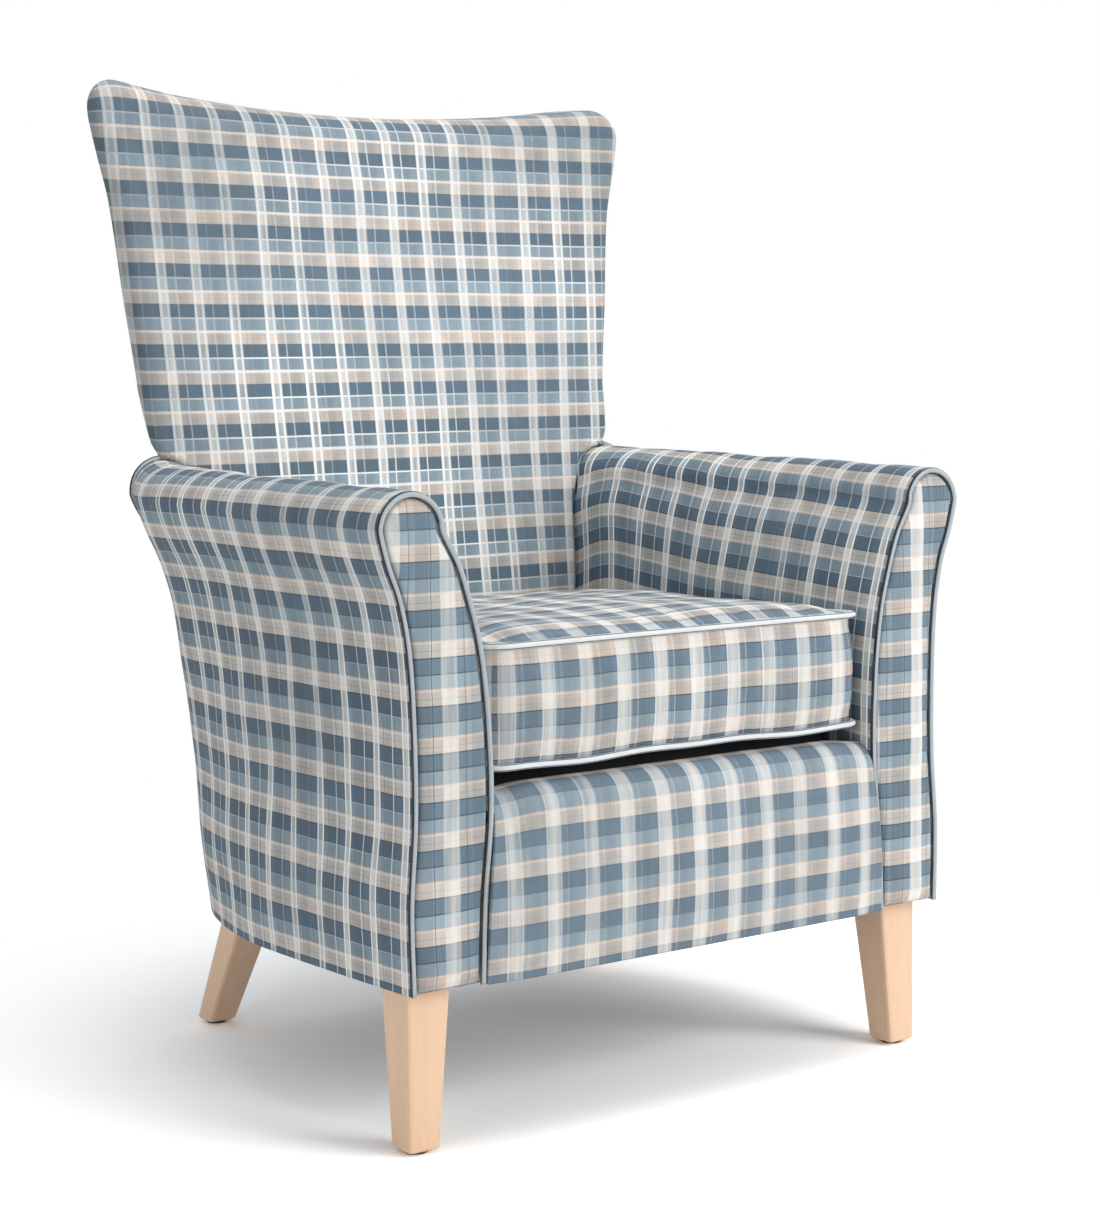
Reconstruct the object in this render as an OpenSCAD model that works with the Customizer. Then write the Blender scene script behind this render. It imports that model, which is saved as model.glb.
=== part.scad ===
// Fireside chair: a timber frame on four tapered legs, upholstered arms and back, loose box cushion.
// The front faces -Y, the seat is symmetric about X = 0 and the floor is Z = 0.

/* [Overall] */
// Width of the seat between the feet of the arms
seat_w = 520; // [490:1:580]
// Width of one arm at its foot
arm_w = 92; // [86:1:108]
// Depth of the base from the arm facings to the outside back
base_d = 565; // [545:1:620]
// Height of the underside of the upholstery above the floor
base_z = 168; // [140:1:200]
// Height of the arms at their front
arm_z = 655; // [630:1:690]
// Height of the ears of the back
ear_z = 1100; // [1040:1:1180]
// Height of the platform that carries the cushion
deck_z = 370; // [355:1:385]

/* [Arms] */
// Height of the round arch along the top of an arm
arch_h = 38; // [30:1:46]
// Rise of the arm top from the front to the back
arm_rise = 15; // [0:1:24]
// Crown of the padded arm facings
facing_crown = 5; // [2:0.5:8]
// Thickness of the padding behind the rim of an arm facing
facing_t = 8; // [6:0.5:12]
// Radius of the piping round the facings
facing_pipe_r = 3; // [2:0.5:4]

/* [Back] */
// Lean of the outside back in degrees
back_rake = 8.1; // [6:0.1:10]
// Lean of the inside back in degrees
lean = 7.5; // [5:0.1:8]
// Thickness of the padded back at platform height
back_t = 61.7; // [56:0.1:76]
// Width of the back just above the arms
back_low_w = 644; // [620:1:680]
// Width of the back across its ears
back_top_w = 742; // [700:1:780]
// Width of the back across its ears at its rear, where the sides draw in
back_rear_w = 656; // [640:1:720]
// Radius of the ears seen from the front
ear_r = 35; // [25:1:45]
// How far the top edge dips between the ears
back_dip = 22; // [0:1:40]
// How far the ears reach forward of the middle of the back
ear_forward = 36; // [10:1:45]
// Radius of the rolled top edge of the back
roll_r = 36; // [24:1:38]
// Radius of the soft side edges of the back
side_r = 25; // [16:1:30]

/* [Front border] */
// Depth of the springs and padding between the seat rails and the platform's top
platform_t = 45; // [38:1:52]
// Drop of the border's crest below the platform
border_drop = 16; // [10:1:24]
// Radius of the roll along the top of the border
border_roll_r = 26; // [20:1:30]
// Bulge of the border's front face
border_bulge = 4; // [1:0.5:8]

/* [Cushion] */
// Width of the cushion between its side seams
cushion_w = 490; // [450:1:496]
// Gap between the cushion and the inside back
cushion_gap = 9; // [7:1:40]
// Height of the border between the cushion's two pipings
cushion_t = 120; // [90:1:140]
// Distance from the facings back to the cushion's front
cushion_y = 13; // [8:1:40]
// Crown of the cushion's top
cushion_crown = 20; // [8:1:30]
// How far the cushion's top falls from front to rear
cushion_fall = 16; // [0:1:22]
// Crown of the cushion's underside
cushion_belly = 7; // [5:0.5:12]
// How far the cushion's sides are drawn in between its corners
cushion_draw = 5; // [1:0.5:10]
// Swell of the cushion's border at half height
cushion_swell = 5; // [0:0.5:6]
// Radius of the cushion's corners
cushion_corner_r = 24; // [16:1:40]
// Radius of the piping on the cushion
cushion_pipe_r = 3.5; // [2.5:0.5:4.5]
// Length of the zip along the rear of the cushion
zip_len = 400; // [300:1:420]

/* [Upholstery] */
// Thickness of the cover cloth with its lining
cloth_t = 1.5; // [1:0.1:2]
// Thickness of the foam on the arms and the border
foam_t = 8; // [6:0.5:10]
// Fitting gap between neighbouring layers
fit = 0.3; // [0.2:0.05:0.5]

/* [Legs] */
// Width of a front leg at its top
leg_top_w = 51; // [44:1:54]
// Width of a front leg at its foot
leg_foot_w = 36; // [30:1:42]
// Distance from the facings back to the front legs
leg_y = 23; // [18:1:30]
// Distance of the front legs inside the padding of the arms
leg_inset = 0.5; // [0.4:0.1:6]
// Width of a rear leg at its top
rear_leg_top_w = 46; // [40:1:50]
// Width of a rear leg at its foot
rear_leg_foot_w = 34; // [28:1:38]
// Distance from the middle of the chair to a rear leg
rear_leg_x = 246; // [240:1:248]
// Distance from the outside back forward to the top of a rear leg
rear_leg_set = 68; // [64:1:80]
// How far a rear leg's foot stands behind its top
rear_leg_kick = 103; // [40:1:110]
// Rounding of the legs' long edges
leg_edge_r = 4; // [2:0.5:6]
// Radius of the glides under the feet
glide_r = 11; // [8:1:14]
// Thickness of the glides
glide_t = 4; // [3:0.5:6]

/* [Frame] */
// Thickness of the seat rails and the arm posts
rail_t = 28; // [22:1:30]
// Thickness of the back frame's timbers
back_rail_t = 25; // [20:1:26]
// Width of the back uprights
upright_w = 40; // [30:1:50]
// Height of the seat's side rails
side_rail_h = 128; // [80:1:140]
// Height of the blocks over the legs
block_h = 60; // [40:1:70]
// Width and height of the arm top rails
arm_rail = 30; // [22:1:32]
// Thickness of the tack rails inside the arms
tack_t = 20; // [14:1:24]
// Radius of the bolts that hold the legs
bolt_r = 4; // [3:0.5:5]
// Radius of the dowels in the front rail
dowel_r = 5; // [4:0.5:6]
// Radius of the seat's spring wire
wire_r = 1.9; // [1.5:0.1:2.2]
// Width of one bend of a seat spring
spring_w = 46; // [36:1:56]
// Number of seat springs
springs = 5; // [4:1:6]
// Number of straps across the back
straps = 6; // [4:1:8]

/* [Hidden] */

// Colours of the materials
plaid_colour = [0.62, 0.65, 0.68];
piping_colour = [0.9, 0.88, 0.82];
edge_colour = [0.14, 0.16, 0.22];
leg_colour = [0.82, 0.66, 0.52];
frame_colour = [0.8, 0.7, 0.54];
foam_colour = [0.93, 0.89, 0.7];
black_colour = [0.12, 0.12, 0.13];
steel_colour = [0.62, 0.63, 0.65];
web_colour = [0.35, 0.33, 0.3];

// Half widths and the main levels
seat_half = seat_w / 2;
base_half = seat_half + arm_w;
spring_line = arm_z - arch_h - base_z;
overrun = 2;
dust_t = 1.2;
frame_z = base_z + dust_t + fit;
rail_top = deck_z - platform_t;
border_z = deck_z - border_drop;
rear_leg_y = base_d - rear_leg_set;
seat_d = rear_y(deck_z) - back_t;
cushion_d = seat_d - cushion_y - cushion_gap;

// Inside and outside edge of the arm section: height share, then two shares of the arm's width
arm_shares = [[0, 0.043, 0.989], [0.19, 0, 1], [0.38, -0.087, 0.935], [0.58, -0.065, 0.935],
    [0.74, 0.022, 0.978], [0.85, 0.158, 1.076], [0.93, 0.293, 1.217], [1, 0.478, 1.304]];
// Sideways drift of the arm's outside along its length: length share, share of the arm's width
low_drift_shares = [[0, 0], [0.21, 0.065], [0.46, 0.109], [0.56, 0.076], [0.69, -0.076],
    [0.81, -0.315], [1, -0.913]];
top_drift_shares = [[0, 0], [0.25, 0.05], [0.5, 0.065], [0.7, 0.045], [0.8, -0.02],
    [0.9, -0.33], [1, -0.82]];
// Swell of the arm's inside toward the back, and how much of it each height takes
in_swell_shares = [[0, 0], [0.5, 0], [0.9, 0.32], [1, 0.32]];
in_height_shares = [[0, 0], [0.74, 0], [0.85, 0.35], [0.93, 0.7], [1, 1]];
in_pinch_shares = [[0, 0], [0.9, 0], [1, 0.12]];
// Places of the sections along an arm, and the foam's thickness there
arm_station_shares = [0, 0.12, 0.3, 0.46, 0.6, 0.72, 0.81, 0.9, 1];
arm_foam_shares = [[0, 1], [0.81, 1], [1, 0.3]];
back_start_share = 0.9;
tuck_rung = 2;
arch_step = 18;

// Side of the back above the arms: height share, share of the flare
back_side_shares = [[0.05, 0.02], [0.24, 0.18], [0.41, 0.35], [0.68, 0.59], [0.8, 0.82], [0.89, 0.98]];
ear_step = 30;
top_shares = [0.75, 0.37];
ring_shares = [0.12, 0.45, 0.78];
round_angles = [0, 40, 90];

// Levels and planes that several pieces share
arm_front = facing_pipe_r + fit;
skin_t = cloth_t + fit;
lining_t = skin_t + foam_t + fit;
rear_skin_t = cloth_t + 2 * fit;
back_skin_t = skin_t + fit;
roll_share = 0.9;
back_low_half = back_low_w / 2;
back_top_half = back_top_w / 2;
arm_peak_z = arm_z + arm_rise;
back_pad_t = rear_skin_t + back_rail_t + 3.2 * cloth_t;
crevice = 5 * fit;
post_y = facing_t + fit;
post_rear = post_y + rail_t;
block_y = post_rear + fit;
block_d = leg_top_w + leg_edge_r;
border_y0 = -border_bulge / 2;
border_y1 = border_y0 + 2.4 * border_roll_r;
front_reach = max(facing_crown, border_bulge - border_y0);

function mix(a, b, f) = a + (b - a) * f;
function reversed(list) = [for (i = [len(list) - 1 : -1 : 0]) list[i]];
function middle(ring) = [for (p = ring) 1] * ring / len(ring);
function flat(lists) = [for (l = lists) each l];

// Points of an open curve moved to its left by d
function inset(c, d) = [for (i = [0 : len(c) - 1])
    let (a = c[max(i - 1, 0)], b = c[min(i + 1, len(c) - 1)], n = norm(b - a))
    c[i] + d * [a[1] - b[1], b[0] - a[0]] / n];

// Points of a closed curve moved to its left by d
function inset_loop(c, d) = [for (i = [0 : len(c) - 1])
    let (a = c[(i + len(c) - 1) % len(c)], b = c[(i + 1) % len(c)], n = norm(b - a))
    c[i] + d * [a[1] - b[1], b[0] - a[0]] / n];

// Closed solid through rings that turn counter-clockwise about the way they are stacked.
// Its ends are ladders across the ring, or fans about a hub in the ring's middle.
// The first flip_rows rows, or the points from flip_from on, have their faces split the other
// way, so that the two skins of a thin wall and what lies under it have matching faces.
module loft(rings, closed = false, hub = false, flip_rows = 0, flip_from = 1e6) {
    n = len(rings[0]);
    m = len(rings);
    last = (m - 1) * n;
    sides = [for (i = [0 : closed ? m - 1 : m - 2]) for (j = [0 : n - 1])
        let (a = i * n, b = ((i + 1) % m) * n, k = (j + 1) % n)
        each i < flip_rows || j >= flip_from ? [[a + j, b + j, a + k], [a + k, b + j, b + k]]
            : [[a + j, b + j, b + k], [a + j, b + k, a + k]]];
    ladder = [for (j = [0 : floor(n / 2) - 1])
        each [[j, j + 1, n - 2 - j], [j, n - 2 - j, n - 1 - j]]];
    rungs = [for (t = ladder) if (t[0] != t[1] && t[1] != t[2] && t[0] != t[2] && t[1] <= t[2]) t];
    starts = hub ? [for (j = [0 : n - 1]) [m * n, j, (j + 1) % n]] : rungs;
    ends = hub ? [for (j = [0 : n - 1]) [m * n + 1, last + (j + 1) % n, last + j]]
        : [for (t = rungs) [for (p = reversed(t)) p + last]];
    hubs = hub ? [middle(rings[0]), middle(rings[m - 1])] : [];
    polyhedron(concat(flat(rings), hubs), closed ? sides : concat(sides, starts, ends));
}

// Tube along a path of points in the plane X and Z, at depth y
module tube_xz(c, y, r) {
    left = inset(c, r);
    turns = [for (a = [0 : 60 : 300]) a];
    loft([for (i = [0 : len(c) - 1]) let (n = left[i] - c[i])
        [for (a = turns) [c[i][0] + n[0] * cos(a), y - r * sin(a), c[i][1] + n[1] * cos(a)]]]);
}

// Draws children for the right side of the chair, or mirrored for the left
module side(left) {
    mirror([left ? 1 : 0, 0, 0]) children();
}

// Moves a model measured from the arm facings so that the chair's middle depth is Y = 0
module place() {
    translate([0, -(rear_y(ear_z) - front_reach) / 2, 0]) children();
}

// Depth of the outside back and of the inside back at a height
function rear_y(z) = base_d + (z - base_z) * tan(back_rake);
function ear_reach(x, z) = ear_forward * max(0, (z - deck_z) / (ear_z - deck_z))
    * pow(x / back_top_half, 2);
function front_y(x, z) = seat_d + (z - deck_z) * tan(lean) - ear_reach(x, z);

// The arm: edges of its section at length share v and height share t
function arm_out(v, t) = seat_half + arm_w * (lookup(t, [for (s = arm_shares) [s[0], s[2]]])
    + mix(lookup(v, low_drift_shares), lookup(v, top_drift_shares), t));
function arm_in(v, t) = seat_half + arm_w * (lookup(t, [for (s = arm_shares) [s[0], s[1]]])
    - lookup(v, in_swell_shares) * lookup(t, in_height_shares) - lookup(v, in_pinch_shares));
function arm_level(v, t) = base_z + t * (spring_line + arm_rise * v);
function arm_y(v, z) = mix(arm_front, rear_y(z) - rear_skin_t, v);
function arm_arch(v) =
    let (mid = (arm_in(v, 1) + arm_out(v, 1)) / 2, half = (arm_out(v, 1) - arm_in(v, 1)) / 2)
    [for (a = [arch_step : arch_step : 180 - arch_step])
        [mid + half * cos(a), arm_level(v, 1) + arch_h * sin(a)]];
function arm_curve(v, last_rung = 0) = concat(
    [for (s = arm_shares) [arm_out(v, s[0]), arm_level(v, s[0])]],
    arm_arch(v),
    [for (i = [len(arm_shares) - 1 : -1 : last_rung])
        [arm_in(v, arm_shares[i][0]), arm_level(v, arm_shares[i][0])]]);

arm_points = len(arm_curve(0, tuck_rung));

// Wrap round the arm between two depths under its surface
module arm_wrap(outer_d, inner_d, front) {
    loft([for (v = reversed(arm_station_shares))
        let (c = arm_curve(v, tuck_rung), shell = (inner_d - outer_d) * lookup(v, arm_foam_shares))
        [for (p = concat(inset(c, outer_d), reversed(inset(c, outer_d + shell))))
            [p[0], max(arm_y(v, p[1]), front), p[1]]]], flip_from = arm_points);
}

module arm_cover(left) {
    color(plaid_colour) place() side(left) arm_skin();
}

module arm_skin() {
    loft([for (v = reversed(arm_station_shares)) let (c = arm_curve(v, tuck_rung))
        [for (p = concat(c, reversed(inset(c, cloth_t)))) [p[0], arm_y(v, p[1]), p[1]]]],
        flip_from = arm_points);
}

module arm_foam(left) {
    color(foam_colour) place() side(left) arm_wrap(skin_t, skin_t + foam_t, post_y);
}

module arm_facing(left) {
    rim = 2 * facing_pipe_r + fit;
    steps = [[0, facing_t], [0, 0], [rim, -0.6 * facing_crown], [2.4 * rim, -0.9 * facing_crown],
        [4.2 * rim, -facing_crown]];
    color(plaid_colour) place() side(left)
        loft([for (s = steps) [for (p = inset(arm_curve(0), rim + s[0])) [p[0], s[1], p[1]]]]);
}

module facing_piping(left) {
    color(edge_colour) place() side(left)
        tube_xz(inset(arm_curve(0), facing_pipe_r), 0, facing_pipe_r);
}

// Outline of the arm timbers at length share v, moved in under the padding
function post_outline(v, d, inner_x) = concat(
    [for (p = inset(arm_curve(v, tuck_rung), d)) [max(p[0], inner_x), max(p[1], frame_z)]],
    [[inner_x, frame_z]]);

// Upright board between two depths whose outline lies in the plane X and Z
module board_xz(outline, y0, y1) {
    translate([0, y1, 0]) rotate([90, 0, 0]) linear_extrude(y1 - y0) polygon(outline);
}

front_rail_half = seat_half + 4 * fit + facing_pipe_r;
dowel_zs = [mix(frame_z, rail_top, 0.25), mix(frame_z, rail_top, 0.75)];
dowel_l = 1.4 * rail_t;

// Dowels of the front rail for one side, with an allowance for their bores
module rail_dowel_pair(extra = 0) {
    for (z = dowel_zs)
        translate([front_rail_half - dowel_l / 2 - extra, post_y + rail_t / 2, z])
            rotate([0, 90, 0]) cylinder(h = dowel_l + 2 * extra, r = dowel_r + extra, $fn = 32);
}

module arm_post(left) {
    color(frame_colour) place() side(left) difference() {
        board_xz(post_outline(0, lining_t, front_rail_half), post_y, post_rear);
        rail_dowel_pair(fit);
    }
}

rear_post_y0 = rear_leg_y - rear_leg_top_w / 2 - fit;
rear_post_y1 = rear_post_y0 + rail_t;

// Outline of the rear arm post, under the arm's padding between the post's two faces
function arm_share(y, z) = (y - arm_front) / (rear_y(z) - rear_skin_t - arm_front);
rear_post_sides = [for (s = arm_shares) let (z = arm_level(1, s[0]), d = lining_t + 5 * fit)
    [arm_out(arm_share(rear_post_y1, z), s[0]) - d, arm_in(arm_share(rear_post_y0, z), s[0]) + d, z]];

module arm_rear_post(left) {
    inner_x = rear_leg_x + rear_leg_top_w / 2 + fit;
    top = rear_post_sides[len(rear_post_sides) - 1];
    outline = concat(
        [for (p = rear_post_sides) [max(p[0], inner_x), max(p[2], frame_z)]],
        [[mix(top[0], top[1], 0.25), top[2] + arch_h / 3], [mix(top[0], top[1], 0.75), top[2] + arch_h / 3]],
        [for (p = reversed(rear_post_sides)) [max(p[1], inner_x), max(p[2], frame_z)]]);
    color(frame_colour) place() side(left) board_xz(outline, rear_post_y0, rear_post_y1);
}

arm_rail_top = arm_level(0, 1) + arm_rail / 3;
arm_rail_x = (arm_in(0, 1) + arm_out(0, 1)) / 2 - arm_rail / 2;

module arm_top_rail(left) {
    color(frame_colour) place() side(left)
        translate([arm_rail_x, post_rear, arm_rail_top - arm_rail])
            cube([arm_rail, rear_post_y0 - post_rear, arm_rail]);
}

tack_x = arm_in(0, arm_shares[tuck_rung + 1][0]) + lining_t + fit;

module arm_tack_rail(left) {
    color(frame_colour) place() side(left)
        translate([tack_x, post_rear, arm_level(0, arm_shares[tuck_rung][0])])
            cube([tack_t, rear_post_y0 - post_rear, arm_rail]);
}

// Square leg with rounded long edges through a list of [x, y, z, width, edge radius]
module square_leg(rings) {
    loft([for (r = rings) [for (q = [0 : 3]) for (a = [0, 45, 90])
        let (c = r[3] / 2 - r[4], turn = a + 90 * q, sx = q == 0 || q == 3 ? 1 : -1, sy = q < 2 ? 1 : -1)
        [r[0] + sx * c + r[4] * cos(turn), r[1] + sy * c + r[4] * sin(turn), r[2]]]]);
}

front_leg_x = arm_out(0, 0) - lining_t - leg_inset - leg_top_w / 2;
front_leg_yc = leg_y + leg_top_w / 2;
front_foot_shift = (leg_top_w - leg_foot_w) / 2;
leg_grip = 6 * bolt_r;
rear_bolt_y = rear_leg_y + rear_leg_kick * leg_grip / 3 / frame_z;
foot_round = leg_edge_r / 2;

// Bores or bolts at the two legs of one side: radius, lowest point below the frame, highest above
module leg_bores(r, below, above) {
    for (p = [[front_leg_x, front_leg_yc], [rear_leg_x, rear_bolt_y]])
        translate([p[0], p[1], frame_z - below]) cylinder(h = below + above, r = r, $fn = 32);
}

module front_leg(left) {
    foot = [front_leg_x + front_foot_shift, front_leg_yc - front_foot_shift];
    color(leg_colour) place() side(left) difference() {
        square_leg([
            [foot[0], foot[1], glide_t, leg_foot_w - 2 * foot_round, leg_edge_r],
            [foot[0], foot[1], glide_t + foot_round, leg_foot_w, leg_edge_r],
            [front_leg_x, front_leg_yc, frame_z, leg_top_w, leg_edge_r]]);
        leg_bores(bolt_r + fit, leg_grip, overrun);
    }
}

function rear_leg_centre(z) = rear_leg_y + rear_leg_kick * (1 - z / frame_z);
function rear_leg_width(z) = mix(rear_leg_foot_w, rear_leg_top_w, z / frame_z);

module rear_leg(left) {
    low = glide_t + foot_round;
    color(leg_colour) place() side(left) difference() {
        square_leg([
            [rear_leg_x, rear_leg_centre(glide_t), glide_t, rear_leg_foot_w - 2 * foot_round, leg_edge_r],
            [rear_leg_x, rear_leg_centre(low), low, rear_leg_width(low), leg_edge_r],
            [rear_leg_x, rear_leg_centre(frame_z), frame_z, rear_leg_top_w, leg_edge_r]]);
        leg_bores(bolt_r + fit, leg_grip, overrun);
    }
}

module leg_glides() {
    color(black_colour) place() for (left = [false, true]) side(left)
        for (p = [[front_leg_x + front_foot_shift, front_leg_yc - front_foot_shift],
            [rear_leg_x, rear_leg_centre(glide_t)]])
            translate([p[0], p[1], 0]) cylinder(h = glide_t, r = glide_r, $fn = 48);
}

nut_h = 2 * bolt_r;

module leg_bolts() {
    color(steel_colour) place() for (left = [false, true]) side(left)
        leg_bores(bolt_r, leg_grip - fit, block_h - fit);
}

module leg_nuts() {
    color(steel_colour) place() for (left = [false, true]) side(left) difference() {
        for (p = [[front_leg_x, front_leg_yc], [rear_leg_x, rear_bolt_y]])
            translate([p[0], p[1], frame_z + block_h - nut_h])
                cylinder(h = nut_h, r = 2 * bolt_r, $fn = 6);
        leg_bores(bolt_r + fit / 3, overrun, block_h + overrun);
    }
}

// Blocks over the legs that the bolts pass up through, with pockets for their nuts
module leg_blocks() {
    color(frame_colour) place() for (left = [false, true]) side(left) difference() {
        union() {
            translate([front_leg_x - leg_top_w / 2, block_y, frame_z])
                cube([leg_top_w, block_d, block_h]);
            translate([rear_leg_x - rear_leg_top_w / 2, rear_post_y0, frame_z])
                cube([rear_leg_top_w, back_foot_y - rear_post_y0 - fit, block_h]);
        }
        leg_bores(bolt_r + fit, overrun, block_h + overrun);
        for (p = [[front_leg_x, front_leg_yc], [rear_leg_x, rear_bolt_y]])
            translate([p[0], p[1], frame_z + block_h - nut_h - fit])
                cylinder(h = nut_h + overrun, r = 2 * bolt_r + fit, $fn = 48);
    }
}

module seat_front_rail() {
    color(frame_colour) place() difference() {
        translate([-front_rail_half, post_y, frame_z])
            cube([2 * front_rail_half, rail_t, rail_top - frame_z]);
        for (left = [false, true]) side(left) rail_dowel_pair(fit);
    }
}

module rail_dowels() {
    color(leg_colour) place() for (left = [false, true]) side(left) rail_dowel_pair();
}

// Front face of the back frame at its foot, where the rear blocks end
back_foot_y = rear_y(frame_z) - (rear_skin_t + back_rail_t) / cos(back_rake);

module seat_side_rails() {
    front = block_y + block_d;
    outer_front = front_leg_x + leg_top_w / 2;
    outer_rear = rear_leg_x + rear_leg_top_w / 2;
    color(frame_colour) place() for (left = [false, true]) side(left)
        translate([0, 0, frame_z]) linear_extrude(side_rail_h)
            polygon([[outer_front - rail_t, front], [outer_front, front],
                [outer_rear, rear_post_y0], [outer_rear - rail_t, rear_post_y0]]);
}

// Draws children in the plane of the outside back: X across, Y up the slope, Z into the back
module on_back() {
    translate([0, base_d, base_z]) rotate([90 - back_rake, 0, 0])
        translate([0, 0, rear_skin_t]) children();
}
function slope(z) = (z - base_z) / cos(back_rake);

// Outline of the back: the arm's inside up to its peak, then the flare and the ear
function arm_side_of_back(v) =
    let (c = reversed(inset(arm_curve(v, tuck_rung), -crevice)), n = len(arm_shares) - tuck_rung)
    [for (i = [0 : n + 90 / arch_step - 1]) c[i]];
ear_x = back_top_half - ear_r;
back_flare = [for (s = back_side_shares)
    [mix(back_low_half, back_top_half, s[1]), mix(arm_peak_z, ear_z, s[0])]];
back_ear = [for (a = [0 : ear_step : 90])
    [ear_x + ear_r * cos(a), ear_z - ear_r + ear_r * sin(a)]];
back_top = [for (s = top_shares) [ear_x * s, ear_z - back_dip * (1 - s * s)]];
back_edge = concat(back_flare, back_ear, back_top);
back_edge_rear = [for (p = back_edge) [p[0] * back_rear_w / back_top_w, p[1]]];
function half_outline(v) = concat(arm_side_of_back(v), v < 1 ? back_edge : back_edge_rear);
function full_outline(half) = concat(half, [[0, ear_z - back_dip]],
    [for (p = reversed(half)) [-p[0], p[1]]]);
outline_front = full_outline(half_outline(back_start_share));
outline_rear = full_outline(half_outline(1));
back_mid_z = (deck_z + ear_z) / 2;

// Rounding radius of the back's edge at a height
function edge_radius(x, z) = z > ear_z - ear_r - back_dip && abs(x) < roll_share * ear_x ? roll_r
    : z > arm_peak_z ? side_r : side_r / 2;

// Outline at depth y: the arms' section there, and above them a taper from the edge's end
function outline_at(j, y) =
    let (o = outline_front[j], z = o[1], above = z > arm_peak_z + crevice,
        y0 = above ? front_y(o[0], z) + edge_radius(o[0], z) : arm_y(back_start_share, z),
        f = (y - y0) / (arm_y(1, z) - y0))
    mix(o, outline_rear[j], above ? max(0, f) : f);
// Unit steps into the outline, with its two bottom corners also moved up
outline_in = [for (i = [0 : len(outline_front) - 1])
    let (step = inset(outline_front, 1)[i] - outline_front[i])
    i == 0 || i == len(outline_front) - 1 ? [step[0], 1] : step];

// Ring of the back's soft edge at a turning angle, t under the cover's outside
function edge_ring(t, turn) = [for (j = [0 : len(outline_front) - 1])
    let (o = outline_front[j], r = edge_radius(o[0], o[1]),
        d = t + (r - t) * (1 - cos(turn)), e = t + (r - t) * (1 - sin(turn)),
        p = outline_at(j, front_y(o[0], o[1]) + e) + d * outline_in[j])
    [p[0], front_y(p[0], p[1]) + e, p[1]]];
function face_ring(t, s) = [for (p = edge_ring(t, 90))
    let (x = p[0] * s, z = back_mid_z + (p[2] - back_mid_z) * s) [x, front_y(x, z) + t, z]];
function rim_ring(t, low, high) = [for (j = [0 : len(outline_front) - 1])
    let (z = outline_front[j][1], inner = z > arm_peak_z + crevice ? high : low,
        p = outline_at(j, rear_y(z) - inner) + t * outline_in[j])
    [p[0], rear_y(p[1]) - inner, p[1]]];

module inside_back_cover() {
    color(plaid_colour) place() loft(concat(
        [for (s = ring_shares) face_ring(cloth_t, s)],
        [for (a = reversed(round_angles)) edge_ring(cloth_t, a)],
        [rim_ring(cloth_t, back_pad_t + skin_t, back_pad_t), rim_ring(cloth_t, back_pad_t, rear_skin_t),
            rim_ring(0, back_pad_t, rear_skin_t), rim_ring(0, back_pad_t + skin_t, back_pad_t)],
        [for (a = round_angles) edge_ring(0, a)],
        [for (s = reversed(ring_shares)) face_ring(0, s)]),
        hub = true, flip_rows = len(ring_shares) + len(round_angles) + 1);
}

module back_foam() {
    color(foam_colour) place() loft(concat(
        [rim_ring(back_skin_t, back_pad_t + fit, back_pad_t)],
        [for (a = round_angles) edge_ring(back_skin_t, a)],
        [for (s = reversed(ring_shares)) face_ring(back_skin_t, s)]), hub = true);
}

// Right half of the outside back seen from behind, in the plane of the back
panel_half = concat(
    [for (i = [0 : len(arm_shares) + 90 / arch_step - 1])
        let (p = arm_curve(1)[i]) [p[0], slope(p[1])]],
    [for (p = back_edge_rear) [p[0], slope(p[1])]]);

module outside_back_cover() {
    outline = concat(panel_half, [[0, slope(ear_z - back_dip)]],
        [for (p = reversed(panel_half)) [-p[0], p[1]]]);
    color(plaid_colour) place() on_back() translate([0, 0, -rear_skin_t])
        linear_extrude(cloth_t) polygon(outline);
}

// Outer edge of an upright: under the arm's end, then under the flare of the back
upright_low_x = arm_in(1, arm_shares[tuck_rung][0]) - lining_t / 2;
rear_flare = [for (i = [0 : len(back_flare) - 1]) back_edge_rear[i]];
upright_flare = [for (p = inset(rear_flare, lining_t)) [p[0], slope(p[1])]];
upright_outer = concat(
    [[upright_low_x, slope(frame_z)], [upright_low_x, slope(arm_level(1, arm_shares[4][0]))],
     [arm_in(1, 1) - lining_t, slope(arm_level(1, 1))], [arm_in(1, 1), slope(arm_peak_z + crevice)]],
    upright_flare);
upright_inner = concat(
    [[upright_low_x - upright_w, slope(frame_z)], [upright_low_x - upright_w, slope(arm_level(1, 1))]],
    [for (i = [1 : len(upright_flare) - 1]) [upright_flare[i][0] - upright_w, upright_flare[i][1]]]);

module back_upright(left) {
    color(frame_colour) place() side(left) on_back()
        linear_extrude(back_rail_t) polygon(concat(upright_outer, reversed(upright_inner)));
}

// Inner face of the uprights at a slope distance
function upright_x(s) = lookup(s, [for (p = upright_inner) [p[1], p[0]]]);

// Straight rail between the uprights
module back_rail(z0, z1) {
    s0 = slope(z0);
    s1 = slope(z1);
    color(frame_colour) place() on_back() linear_extrude(back_rail_t)
        polygon([[-upright_x(s0), s0], [upright_x(s0), s0], [upright_x(s1), s1], [-upright_x(s1), s1]]);
}

rail_w = 2.2 * back_rail_t;
upright_top_z = mix(arm_peak_z, ear_z, back_side_shares[5][0]) - lining_t;
crest_z = upright_top_z - rail_w;
lumbar_z = mix(deck_z, arm_z, 0.62);

module seat_back_rail() {
    back_rail(frame_z, rail_top - (rear_skin_t + back_rail_t) * sin(back_rake));
}

module lumbar_rail() {
    back_rail(lumbar_z, lumbar_z + rail_w);
}

module crest_rail() {
    back_rail(crest_z, crest_z + rail_w);
}

strap_w = 2 * back_rail_t;

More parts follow.
